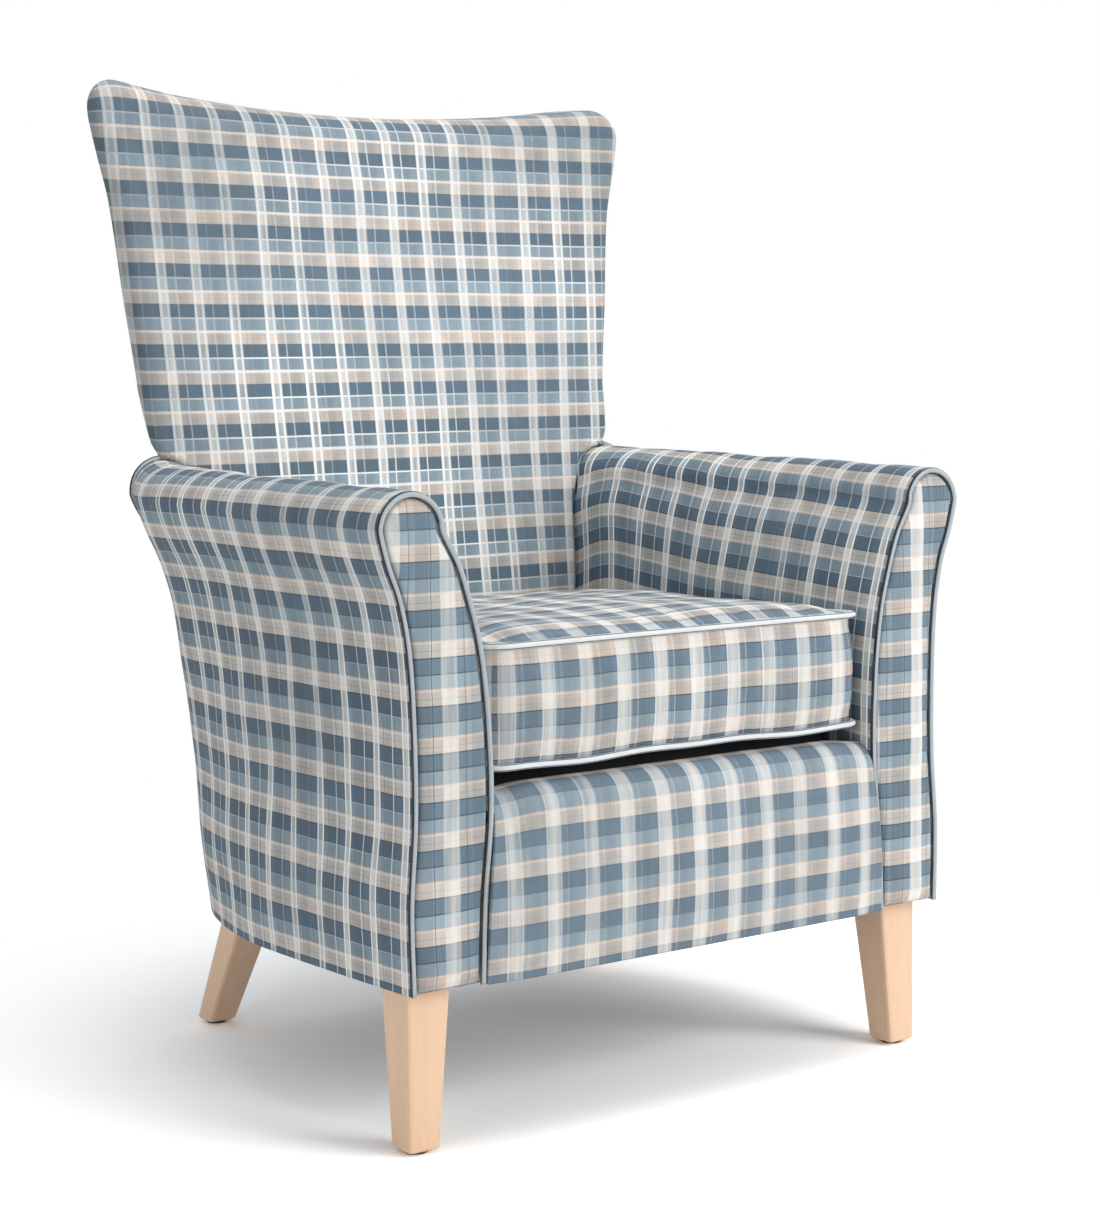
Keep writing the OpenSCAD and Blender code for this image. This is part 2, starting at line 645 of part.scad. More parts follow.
module back_webbing() {
    low = slope(deck_z + strap_w / 2);
    high = slope(crest_z);
    color(web_colour) place() on_back() translate([0, 0, back_rail_t + fit])
        for (i = [0 : straps - 1])
            let (s = mix(low, high - strap_w, i / (straps - 1)), x = upright_x(s) + upright_w / 2)
            translate([-x, s, 0]) cube([2 * x, strap_w, cloth_t]);
}

spring_y0 = post_y + rail_t / 2;
spring_y1 = rear_y(rail_top) - (rear_skin_t + back_rail_t / 2) / cos(back_rake);
spring_rise = 4 * wire_r;
spring_pitch = 2 * (upright_low_x - upright_w - spring_w / 2 - 2 * wire_r) / (springs - 1);
bends = 8;
clip_h = wire_r;

// Height of a spring's wire at a depth
function spring_z(y) = rail_top + clip_h + wire_r
    + spring_rise * sin(180 * (y - spring_y0) / (spring_y1 - spring_y0));
function spring_path(x) = [for (i = [0 : bends * 6])
    let (turn = 180 * i / 6, y = mix(spring_y0, spring_y1, i / bends / 6))
    [x + spring_w / 2 * sin(turn) * (i == 0 || i == bends * 6 ? 0 : 1), y, spring_z(y)]];

module seat_springs() {
    turns = [for (a = [0 : 60 : 300]) a];
    color(steel_colour) place() for (k = [0 : springs - 1])
        let (path = spring_path((k - (springs - 1) / 2) * spring_pitch))
        loft([for (i = [0 : len(path) - 1])
            let (a = path[max(i - 1, 0)], b = path[min(i + 1, len(path) - 1)],
                t = (b - a) / norm(b - a), u = cross([0, 0, 1], t) / norm(cross([0, 0, 1], t)),
                w = cross(t, u))
            [for (f = turns) path[i] + wire_r * (cos(f) * u + sin(f) * w)]]);
}

module spring_clips() {
    w = 6 * wire_r;
    color(black_colour) place() for (k = [0 : springs - 1]) for (y = [spring_y0, spring_y1])
        translate([(k - (springs - 1) / 2) * spring_pitch - w / 2, y - w / 2, rail_top])
            cube([w, w, clip_h - fit]);
}

sheet_half = arm_in(0, arm_shares[tuck_rung][0]) - 2 * crevice;
sheet_y0 = border_y1 + 2 * crevice;
sheet_y1 = front_y(0, rail_top) - 2 * crevice;

module spring_cover() {
    ys = [for (i = [0 : 8]) mix(sheet_y0, sheet_y1, i / 8)];
    color(web_colour) place() loft([for (y = reversed(ys)) let (z = spring_z(y) + wire_r + fit)
        [[sheet_half, y, z], [sheet_half, y, z + cloth_t], [-sheet_half, y, z + cloth_t],
            [-sheet_half, y, z]]]);
}

// Rounded plan outline, counter-clockwise, with its sides drawn in between the corners
function plan_loop(hw, y0, y1, r, draw = 0) =
    let (yc = (y0 + y1) / 2, hd = (y1 - y0) / 2,
        starts = [[hw, y1 - r], [r - hw, y1], [-hw, y0 + r], [hw - r, y0]],
        mids = [[hw - r, y1 - r], [r - hw, y1 - r], [r - hw, y0 + r], [hw - r, y0 + r]])
    [for (q = [0 : 3])
        let (s = mids[q] + r * [cos(90 * q + 90), sin(90 * q + 90)], e = starts[(q + 1) % 4])
        each [for (p = concat(
            [for (a = [0 : 30 : 90]) mids[q] + r * [cos(a + 90 * q), sin(a + 90 * q)]],
            [for (f = [0.2 : 0.2 : 0.81]) mix(s, e, f)]))
            [p[0] * (1 - draw / hw * (1 - pow((p[1] - yc) / hd, 2))),
             yc + (p[1] - yc) * (1 - draw / hd * (1 - pow(p[0] / hw, 2)))]]];

// Ring of a plan outline scaled by s about its middle, lifted by a dome of the given height
function dome_ring(loop, yc, s, z, dome) = [for (p = loop)
    [p[0] * s, yc + (p[1] - yc) * s, z + dome * (1 - pow(s, 4))]];
dome_shares = [0.1, 0.4, 0.7, 0.9];

platform_loop = plan_loop(sheet_half, sheet_y0, sheet_y1, cushion_corner_r / 2, cloth_t);
platform_yc = (sheet_y0 + sheet_y1) / 2;
pad_z = rail_top + clip_h + 2 * wire_r + spring_rise + cloth_t + 2 * fit;
platform_dome = 2 * cloth_t;

module platform_pad() {
    top = deck_z - skin_t - platform_dome;
    color(foam_colour) place() loft(concat(
        [dome_ring(inset_loop(platform_loop, skin_t), platform_yc, 1, pad_z, 0)],
        [for (s = concat([1], reversed(dome_shares)))
            dome_ring(inset_loop(platform_loop, skin_t), platform_yc, s, top, platform_dome)]), hub = true);
}

module platform_cloth() {
    top = deck_z - platform_dome;
    under = inset_loop(platform_loop, cloth_t);
    color(black_colour) place() loft(concat(
        [for (s = concat(dome_shares, [1]))
            dome_ring(under, platform_yc, s, top - cloth_t, platform_dome)],
        [dome_ring(under, platform_yc, 1, pad_z, 0), dome_ring(platform_loop, platform_yc, 1, pad_z, 0)],
        [for (s = concat([1], reversed(dome_shares)))
            dome_ring(platform_loop, platform_yc, s, top, platform_dome)]), hub = true);
}

// Front border: its section in Y and Z from the tail behind the crest down to the hem
border_curve = concat(
    [[border_y1, border_z - border_roll_r / 2]],
    [for (a = [50 : 26 : 180])
        [border_y0 + border_roll_r + border_roll_r * cos(a),
         border_z - border_roll_r + border_roll_r * sin(a)]],
    [for (f = [0 : 0.2 : 1]) [border_y0 - border_bulge * sin(180 * f),
        mix(border_z - border_roll_r, base_z, f)]]);

// Half length of the border at a height, up to the arms' facings
function border_half(z) = arm_in(0, max(0, (z - base_z) / spring_line)) - 2 * fit;

module border_band(outer_d, inner_d, hem) {
    band = concat(inset(border_curve, outer_d), reversed(inset(border_curve, inner_d)));
    color(hem > 0 ? foam_colour : plaid_colour) place()
        loft([for (u = [-1, -0.6, 0, 0.6, 1])
            [for (p = band) let (z = max(p[1], base_z + hem))
                [u * (border_half(z) - hem), p[0], z]]], flip_from = len(border_curve));
}

module front_border_foam() {
    border_band(skin_t, skin_t + post_y + border_y0 - 2 * fit, fit);
}

module front_border_cover() {
    border_band(0, cloth_t, 0);
}

// Bottom cloth under the frame with openings for the legs
module dust_cover() {
    edge = [for (v = arm_station_shares) [arm_out(v, 0) - lining_t, arm_y(v, base_z)]];
    tail = edge[len(edge) - 1];
    half = concat([[edge[0][0], post_y]], [for (i = [1 : len(edge) - 1]) edge[i]]);
    color(black_colour) place() translate([0, 0, base_z]) linear_extrude(dust_t) difference() {
        polygon(concat(half, [for (p = reversed(half)) [-p[0], p[1]]]));
        for (left = [false, true]) mirror([left ? 1 : 0, 0]) {
            translate([front_leg_x, front_leg_yc]) square(leg_top_w + 4 * fit, center = true);
            translate([rear_leg_x, rear_leg_y]) square(rear_leg_top_w + 6 * fit, center = true);
        }
    }
}

// The loose cushion
cushion_half = cushion_w / 2;
cushion_yc = cushion_y + cushion_d / 2;
cushion_low = deck_z + fit + cushion_belly;
cushion_high = cushion_low + cushion_t;
cushion_loop = plan_loop(cushion_half, cushion_y, cushion_y + cushion_d, cushion_corner_r, cushion_draw);
foam_loop = inset_loop(cushion_loop, skin_t);

// Rings of the cushion with its top let down toward the rear, in step with the height
function let_down(y, z) = z - cushion_fall * (z - cushion_low) / cushion_t * (y - cushion_y) / cushion_d;
function falling(rings) = [for (r = rings) [for (p = r) [p[0], p[1], let_down(p[1], p[2])]]];

module cushion_top() {
    z = cushion_high;
    color(plaid_colour) place() loft(falling(concat(
        [for (s = concat(dome_shares, [1]))
            dome_ring(cushion_loop, cushion_yc, s, z - cloth_t, cushion_crown)],
        [for (s = concat([1], reversed(dome_shares)))
            dome_ring(cushion_loop, cushion_yc, s, z, cushion_crown)])), hub = true);
}

module cushion_bottom() {
    z = cushion_low;
    color(plaid_colour) place() loft(falling(concat(
        [for (s = concat(dome_shares, [1])) dome_ring(cushion_loop, cushion_yc, s, z, -cushion_belly)],
        [for (s = concat([1], reversed(dome_shares)))
            dome_ring(cushion_loop, cushion_yc, s, z + cloth_t, -cushion_belly)])), hub = true);
}

// Swelling side ring of the cushion at a share of the border's height, t under its outside
function border_ring(t, f) =
    [for (p = inset_loop(cushion_loop, t - cushion_swell * sin(180 * f)))
        [p[0], p[1], mix(cushion_low + skin_t + fit, cushion_high - skin_t - fit, f)]];
border_shares = [0, 0.25, 0.5, 0.75, 1];

module cushion_border() {
    color(plaid_colour) place() loft(falling(concat(
        [for (f = border_shares) border_ring(0, f)],
        [for (f = reversed(border_shares)) border_ring(cloth_t, f)])), closed = true);
}

module cushion_foam() {
    color(foam_colour) place() loft(falling(concat(
        [for (s = concat(dome_shares, [1]))
            dome_ring(foam_loop, cushion_yc, s, cushion_low + skin_t, -cushion_belly)],
        [for (f = border_shares) if (f > 0 && f < 1) border_ring(skin_t, f)],
        [for (s = concat([1], reversed(dome_shares)))
            dome_ring(foam_loop, cushion_yc, s, cushion_high - skin_t, cushion_crown)])), hub = true);
}

module cushion_piping(z) {
    path = inset_loop(cushion_loop, -cushion_pipe_r - fit);
    n = len(path);
    color(piping_colour) place() loft(falling([for (j = [0 : n - 1])
        let (a = path[(j + n - 1) % n], b = path[(j + 1) % n], out = [b[1] - a[1], a[0] - b[0]] / norm(b - a))
        [for (f = [0 : 60 : 300])
            [path[j][0] + cushion_pipe_r * cos(f) * out[0], path[j][1] + cushion_pipe_r * cos(f) * out[1],
             z + cushion_pipe_r * sin(f)]]]), closed = true);
}

zip_y = cushion_y + cushion_d + cushion_swell + 2 * fit
    - cushion_draw * (1 - pow(zip_len / cushion_w, 2));
zip_z = (cushion_low + cushion_high - cushion_fall) / 2;
zip_w = 16 * cloth_t;
slider_l = 8 * cloth_t;

module cushion_zip() {
    color(black_colour) place() translate([-zip_len / 2, zip_y, zip_z - zip_w / 2])
        cube([zip_len, cloth_t / 2, zip_w]);
}

module zip_slider() {
    color(steel_colour) place() translate([zip_len / 2 - slider_l, zip_y + cloth_t / 2 + fit, zip_z])
        union() {
            translate([0, 0, -slider_l / 3]) cube([slider_l, cloth_t, slider_l / 1.5]);
            translate([slider_l / 4, 0, -2 * slider_l]) cube([slider_l / 2, cloth_t, 2 * slider_l]);
        }
}

front_leg(true);  // front_leg_left
front_leg(false);  // front_leg_right
rear_leg(true);  // rear_leg_left
rear_leg(false);  // rear_leg_right
leg_glides();
leg_bolts();
leg_nuts();
leg_blocks();
seat_front_rail();
seat_back_rail();
seat_side_rails();
arm_post(true);  // arm_post_left
arm_post(false);  // arm_post_right
arm_rear_post(true);  // arm_rear_post_left
arm_rear_post(false);  // arm_rear_post_right
arm_top_rail(true);  // arm_top_rail_left
arm_top_rail(false);  // arm_top_rail_right
arm_tack_rail(true);  // arm_tack_rail_left
arm_tack_rail(false);  // arm_tack_rail_right
back_upright(true);  // back_upright_left
back_upright(false);  // back_upright_right
crest_rail();
lumbar_rail();
rail_dowels();
seat_springs();
spring_clips();
spring_cover();
platform_pad();
platform_cloth();
front_border_foam();
front_border_cover();
arm_foam(true);  // arm_foam_left
arm_foam(false);  // arm_foam_right
arm_cover(true);  // arm_cover_left
arm_cover(false);  // arm_cover_right
arm_facing(true);  // arm_facing_left
arm_facing(false);  // arm_facing_right
facing_piping(true);  // facing_piping_left
facing_piping(false);  // facing_piping_right
back_webbing();
back_foam();
inside_back_cover();
outside_back_cover();
dust_cover();
cushion_foam();
cushion_top();
cushion_bottom();
cushion_border();
cushion_piping(cushion_high);  // cushion_piping_top
cushion_piping(cushion_low);  // cushion_piping_bottom
cushion_zip();
zip_slider();
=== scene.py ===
"""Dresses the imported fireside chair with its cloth, piping and timber, and sets up its studio.

Every length is in metres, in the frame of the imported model: the front faces -Y, the seat is
symmetric about X = 0 and the floor is Z = 0. Depths called "deep" are measured back from the
plane of the arm facings, as an upholsterer does, and Form.settle moves them to the frame.
"""

import logging
import math
from dataclasses import dataclass, field, replace
from enum import Enum

import bmesh
import bpy
import numpy as np
from mathutils import Matrix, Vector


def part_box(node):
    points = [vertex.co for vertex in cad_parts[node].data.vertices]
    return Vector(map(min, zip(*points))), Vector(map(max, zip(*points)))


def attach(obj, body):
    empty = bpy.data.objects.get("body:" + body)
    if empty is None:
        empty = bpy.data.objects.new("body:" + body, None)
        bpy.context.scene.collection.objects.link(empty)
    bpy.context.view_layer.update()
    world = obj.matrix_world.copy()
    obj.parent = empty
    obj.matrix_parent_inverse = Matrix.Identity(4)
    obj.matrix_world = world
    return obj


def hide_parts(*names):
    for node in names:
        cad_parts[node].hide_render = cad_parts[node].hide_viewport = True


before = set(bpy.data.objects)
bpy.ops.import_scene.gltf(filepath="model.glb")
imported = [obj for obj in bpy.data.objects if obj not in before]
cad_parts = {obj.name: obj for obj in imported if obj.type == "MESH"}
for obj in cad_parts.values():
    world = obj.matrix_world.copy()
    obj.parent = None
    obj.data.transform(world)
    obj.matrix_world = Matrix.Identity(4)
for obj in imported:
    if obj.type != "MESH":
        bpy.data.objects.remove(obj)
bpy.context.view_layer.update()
Colour = tuple[float, float, float]
Place = tuple[float, float, float]
Waves = tuple[tuple[float, float, float, float], ...]
# Points nearer than WELD are sewn into one, and edges shorter than SPECK are dissolved
WELD = 2e-5
SPECK = 1e-6
# Keeps a division by a length from failing where the length is nothing
TINY = 1e-9
# Turns a plane curve into its mirror image about the chair's middle
FLIP = np.array([-1, 1])
log = logging.getLogger("fireside_chair")


class Build(Enum):
    """How much of the slow work is done."""

    FULL = "full"
    QUICK = "quick"


class Body(Enum):
    """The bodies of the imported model."""

    CHAIR = "chair"
    CUSHION = "cushion"
    SLIDER = "zip_slider"


def srgb(red: float, green: float, blue: float) -> Colour:
    """Linear values of a colour given as 0 to 255 on a screen."""
    parts = np.array([red, green, blue]) / 255
    linear = np.where(parts <= 0.04045, parts / 12.92, ((parts + 0.055) / 1.055) ** 2.4)
    return tuple(float(x) for x in linear)


# Curves and tables


def smooth_table(at: np.ndarray, knots: np.ndarray, values: np.ndarray) -> np.ndarray:
    """Smooth curve through a table: a cubic between two knots, whose slope at a knot is that of
    the straight line between the knots on either side of it.

    Args:
        at: places to read, of any shape.
        knots: rising places of the table, n of them.
        values: n values, or n rows of values.

    Returns:
        The values at those places, with the shape of at before that of a row.
    """
    knots = np.asarray(knots, float)
    values = np.asarray(values, float)
    before = np.maximum(np.arange(len(knots)) - 1, 0)
    after = np.minimum(np.arange(len(knots)) + 1, len(knots) - 1)
    extra = (1,) * (values.ndim - 1)
    slope = (values[after] - values[before]) / (knots[after] - knots[before]).reshape(-1, *extra)
    at = np.clip(np.asarray(at, float), knots[0], knots[-1])
    i = np.clip(np.searchsorted(knots, at, side="right") - 1, 0, len(knots) - 2)
    step = (knots[i + 1] - knots[i]).reshape(at.shape + extra)
    t = ((at - knots[i]) / (knots[i + 1] - knots[i])).reshape(at.shape + extra)
    return (
        values[i] * (2 * t**3 - 3 * t**2 + 1)
        + step * slope[i] * (t**3 - 2 * t**2 + t)
        + values[i + 1] * (3 * t**2 - 2 * t**3)
        + step * slope[i + 1] * (t**3 - t**2)
    )


def smooth_curve(points: np.ndarray, count: int, finer: int = 8) -> np.ndarray:
    """Evenly spaced points on the smooth curve through the given ones.

    Args:
        points: k points along the first axis, whatever follows it, such as (k, 3) or (k, rows, 3).
        count: how many points to return.
        finer: how many times as many points its length is measured with.

    Returns:
        The curve, spaced by its own length, averaged over the rows where there are several.
    """
    hops = np.linalg.norm(np.diff(points, axis=0), axis=-1)
    hops = hops.reshape(len(hops), -1).mean(axis=1)
    knots = np.concatenate([[0], np.cumsum(hops)])
    places = np.linspace(0, knots[-1], finer * count)
    walked = travelled(smooth_table(places, knots, points))
    walked = walked.reshape(len(walked), -1).mean(axis=1)
    wanted = np.linspace(0, walked[-1], count)
    return smooth_table(np.interp(wanted, walked, places), knots, points)


def travelled(points: np.ndarray, axis: int = 0) -> np.ndarray:
    """Length walked along points, from 0, along one axis of an array of points."""
    hops = np.linalg.norm(np.diff(points, axis=axis), axis=-1)
    start = np.zeros_like(np.take(hops, [0], axis=axis))
    return np.concatenate([start, np.cumsum(hops, axis=axis)], axis=axis)


def ease(low: float, high: float, at: np.ndarray) -> np.ndarray:
    """0 before low, 1 after high, and the smooth step 3t^2 - 2t^3 between them."""
    t = np.clip((np.asarray(at, float) - low) / (high - low), 0, 1)
    return t * t * (3 - 2 * t)


def sideways(curve: np.ndarray, closed: bool = False) -> np.ndarray:
    """Unit vectors that point to the left of a plane curve, at each of its points."""
    if closed:
        along = np.roll(curve, -1, axis=0) - np.roll(curve, 1, axis=0)
    else:
        along = np.gradient(curve, axis=0)
    along /= np.linalg.norm(along, axis=1, keepdims=True)
    return np.stack([-along[:, 1], along[:, 0]], axis=-1)


def lattice(first: np.ndarray, second: np.ndarray) -> tuple[np.ndarray, np.ndarray]:
    """Two parameters spread over a grid, rows by the first and columns by the second."""
    return np.meshgrid(first, second, indexing="ij")


def patch(south: np.ndarray, north: np.ndarray, west: np.ndarray, east: np.ndarray) -> np.ndarray:
    """Surface inside four edges that meet at their ends: the blend of south and north, plus the
    blend of west and east, less the blend of the four corners.

    Args:
        south, north: edges of c points, from west to east.
        west, east: edges of r points, from south to north.

    Returns:
        Grid of r by c points.
    """
    v = np.linspace(0, 1, len(west))[:, None, None]
    u = np.linspace(0, 1, len(south))[None, :, None]
    flat = (
        south[0] * (1 - u) * (1 - v) + south[-1] * u * (1 - v)
        + north[0] * (1 - u) * v + north[-1] * u * v
    )
    return (1 - v) * south[None] + v * north[None] + (1 - u) * west[:, None] + u * east[:, None] - flat


def distance_to(points: np.ndarray, edge: np.ndarray) -> np.ndarray:
    """Shortest distance from each of a grid of plane points to the points of an edge."""
    return np.linalg.norm(points[..., None, :] - edge, axis=-1).min(axis=-1)


def ripple(a: np.ndarray, b: np.ndarray, waves: Waves) -> np.ndarray:
    """Sum of plane waves over two lengths: for each (height, waves per metre along a and along b,
    start), height x sin(2 pi (a fa + b fb + start))."""
    return sum(h * np.sin(2 * math.pi * (a * fa + b * fb + start)) for h, fa, fb, start in waves)


def to_edges(first: float, last: float, count: int) -> np.ndarray:
    """Places between two values that draw closer together toward both, by a sine."""
    return first + (last - first) * (np.sin(np.linspace(-math.pi / 2, math.pi / 2, count)) / 2 + 0.5)


def in_space(x: np.ndarray, y: np.ndarray, z: np.ndarray) -> np.ndarray:
    """Points with these three coordinates."""
    return np.stack([x, y, z], axis=-1)


def in_plane(first: np.ndarray, second: np.ndarray) -> np.ndarray:
    """Points of a plane, or places on a flat cloth, with these two coordinates."""
    return np.stack([first, second], axis=-1)


def node_box(name: str) -> tuple[np.ndarray, np.ndarray]:
    """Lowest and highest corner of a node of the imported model."""
    low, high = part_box(name)
    return np.array(low), np.array(high)


# Making meshes


@dataclass
class Panel:
    """A grid of points, with the place of each on the flat cloth it was cut from."""

    points: np.ndarray
    cloth: np.ndarray
    outward: bool = True

    def quads(self) -> np.ndarray:
        """Faces of the grid, wound so that they point outwards."""
        rows, columns = self.points.shape[:2]
        number = np.arange(rows * columns).reshape(rows, columns)
        corners = [number[:-1, :-1], number[:-1, 1:], number[1:, 1:], number[1:, :-1]]
        faces = np.stack(corners, axis=-1).reshape(-1, 4)
        return faces if self.outward else faces[:, ::-1]


class Workshop:
    """Turns panels into Blender objects and finishes them."""

    @staticmethod
    def sew(name: str, panels: list[Panel], drop: np.ndarray | None = None) -> bpy.types.Object:
        """Makes one mesh of panels, joined where their points meet.

        Args:
            name: the piece's name.
            panels: its grids.
            drop: True for each face that is left out, as at a hole.

        Returns:
            The object, smooth shaded, with the cloth's places as its UV map.
        """
        starts = np.cumsum([0] + [p.points[..., 0].size for p in panels])
        points = np.concatenate([p.points.reshape(-1, 3) for p in panels])
        cloth = np.concatenate([p.cloth.reshape(-1, 2) for p in panels])
        faces = np.concatenate([p.quads() + s for p, s in zip(panels, starts)])
        if drop is not None:
            faces = faces[~drop]
        mesh = bpy.data.meshes.new(name)
        mesh.from_pydata(points.tolist(), [], faces.tolist())
        layer = mesh.uv_layers.new(name="cloth")
        layer.data.foreach_set("uv", cloth[faces.ravel()].astype(np.float32).ravel())
        work = bmesh.new()
        work.from_mesh(mesh)
        bmesh.ops.remove_doubles(work, verts=work.verts, dist=WELD)
        bmesh.ops.dissolve_degenerate(work, edges=work.edges, dist=SPECK)
        bmesh.ops.delete(work, geom=[v for v in work.verts if not v.link_faces], context="VERTS")
        work.to_mesh(mesh)
        work.free()
        mesh.shade_smooth()
        piece = bpy.data.objects.new(name, mesh)
        bpy.context.scene.collection.objects.link(piece)
        return piece

    @staticmethod
    def thicken(piece: bpy.types.Object, thickness: float) -> None:
        """Gives a sheet a wall behind its face, so that it is closed."""
        wall = piece.modifiers.new("wall", "SOLIDIFY")
        wall.thickness = thickness
        wall.offset = -1
        wall.use_rim = True

    @staticmethod
    def refine(piece: bpy.types.Object, levels: int = 1) -> None:
        """Adds one smooth subdivision, the same for the screen and the render."""
        finer = piece.modifiers.new("finer", "SUBSURF")
        finer.levels = levels
        finer.render_levels = levels

    @staticmethod
    def tube(name: str, path: np.ndarray, radius: float, closed: bool, sides: int = 14) -> bpy.types.Object:
        """Round cord along a path: at each point a circle in the plane across the path. Its first
        direction is square to the path and to the axis along which the path spreads least.

        Args:
            name: the piece's name.
            path: points along the middle of the cord.
            radius: of the cord.
            closed: whether its end runs into its start.
            sides: corners of the circle.

        Returns:
            The object. Its UV map holds the length along it, and the share of a turn round it.
        """
        if closed:
            along = np.roll(path, -1, axis=0) - np.roll(path, 1, axis=0)
            path, along = (np.concatenate([row, row[:1]]) for row in (path, along))
        else:
            along = np.gradient(path, axis=0)
        along /= np.linalg.norm(along, axis=1, keepdims=True)
        extent = path.max(axis=0) - path.min(axis=0)
        least = np.eye(3)[int(np.argmin(extent))]
        across = np.cross(along, least)
        across /= np.linalg.norm(across, axis=1, keepdims=True)
        upright = np.cross(across, along)
        turn = np.linspace(0, 2 * math.pi, sides + 1)
        ring = (
            path[:, None]
            + radius * np.cos(turn)[None, :, None] * across[:, None]
            + radius * np.sin(turn)[None, :, None] * upright[:, None]
        )
        length = np.broadcast_to(travelled(path)[:, None], ring.shape[:2])
        share = np.broadcast_to((turn / (2 * math.pi))[None], ring.shape[:2])
        if not closed:
            ring = np.concatenate([ring[:1] * 0 + path[0], ring, ring[:1] * 0 + path[-1]])
            length = np.concatenate([length[:1], length, length[-1:]])
            share = np.concatenate([share[:1], share, share[-1:]])
        return Workshop.sew(name, [Panel(ring, in_plane(length, share), outward=False)])

    @staticmethod
    def inflate(
        piece: bpy.types.Object,
        held: np.ndarray,
        reach: np.ndarray,
        pressure: float = 4.0,
        fuller: float = 0.02,
        frames: int = 20,
    ) -> None:
        """Swells a closed cushion with a cloth simulation, and keeps the result in its mesh.

        The cloth is held at its seams and is a little larger than they are long, so that it
        puckers along them. Each point then moves by reach x tanh(move / reach), which keeps
        the swelling within reach.

        Args:
            piece: closed mesh.
            held: 1 at each vertex that the seams hold, 0 elsewhere.
            reach: farthest that each vertex may move.
            pressure: of the stuffing.
            fuller: share by which the cloth is larger than its shape.
            frames: steps of the simulation.
        """
        mesh = piece.data
        rest = np.empty(3 * len(mesh.vertices))
        mesh.vertices.foreach_get("co", rest)
        rest = rest.reshape(-1, 3)
        pins = piece.vertex_groups.new(name="seams")
        pins.add(np.flatnonzero(held > 0.5).tolist(), 1.0, "REPLACE")
        soft = piece.modifiers.new("stuffing", "CLOTH")
        ticking = {
            "quality": 6, "mass": 0.35, "tension_stiffness": 18, "compression_stiffness": 12,
            "shear_stiffness": 6, "bending_stiffness": 0.6, "vertex_group_mass": "seams",
            "use_pressure": True, "uniform_pressure_force": pressure, "shrink_min": -fuller,
        }
        for key, value in ticking.items():
            setattr(soft.settings, key, value)
        soft.settings.effector_weights.gravity = 0
        soft.collision_settings.use_collision = False
        soft.collision_settings.use_self_collision = False
        soft.point_cache.frame_start = 1
        soft.point_cache.frame_end = frames
        scene = bpy.context.scene
        for step in range(1, frames + 1):
            scene.frame_set(step)
        baked = piece.evaluated_get(bpy.context.evaluated_depsgraph_get())
        moved = np.empty(3 * len(mesh.vertices))
        baked.data.vertices.foreach_get("co", moved)
        piece.modifiers.remove(soft)
        piece.vertex_groups.remove(pins)
        scene.frame_set(1)
        move = moved.reshape(-1, 3) - rest
        size = np.linalg.norm(move, axis=1, keepdims=True) + TINY
        cap = reach[:, None] + TINY
        rest += move / size * cap * np.tanh(size / cap)
        mesh.vertices.foreach_set("co", rest.ravel())
        mesh.update()


# Shader nodes


class Signal:
    """A socket of a material's nodes, with arithmetic that adds the Math nodes it needs."""

    def __init__(self, nodes: "Nodes", socket: bpy.types.NodeSocket) -> None:
        """Wraps a socket."""
        self.nodes = nodes
        self.socket = socket

    def _math(self, operation: str, *inputs: "Signal | float") -> "Signal":
        """Result of a Math node on inputs."""
        return self.nodes.add("ShaderNodeMath", {"operation": operation}, dict(enumerate(inputs)))

    def __add__(self, other: "Signal | float") -> "Signal":
        """self + other."""
        return self._math("ADD", self, other)

    def __sub__(self, other: "Signal | float") -> "Signal":
        """self - other."""
        return self._math("SUBTRACT", self, other)

    def __rsub__(self, other: "Signal | float") -> "Signal":
        """other - self."""
        return self._math("SUBTRACT", other, self)

    def __mul__(self, other: "Signal | float") -> "Signal":
        """self x other."""
        return self._math("MULTIPLY", self, other)

    def __truediv__(self, other: "Signal | float") -> "Signal":
        """self / other."""
        return self._math("DIVIDE", self, other)

    __radd__ = __add__
    __rmul__ = __mul__

    def fraction(self) -> "Signal":
        """What is left over a whole number."""
        return self._math("FRACT", self)

    def whole(self) -> "Signal":
        """The whole number below."""
        return self._math("FLOOR", self)

    def sine(self) -> "Signal":
        """Sine of an angle in radians."""
        return self._math("SINE", self)

    def most(self, other: "Signal | float") -> "Signal":
        """The larger of two."""
        return self._math("MAXIMUM", self, other)

    def rise(self, low: float, high: float) -> "Signal":
        """0 below low, 1 above high, smooth between."""
        return self.nodes.add(
            "ShaderNodeMapRange",
            {"interpolation_type": "SMOOTHSTEP"},
            {"Value": self, "From Min": low, "From Max": high, "To Min": 0.0, "To Max": 1.0},
        )

    def band(self, low: float, high: float, soft: float) -> "Signal":
        """1 between low and high, 0 outside, with edges of a given softness."""
        return self.rise(low - soft, low + soft) * (1 - self.rise(high - soft, high + soft))


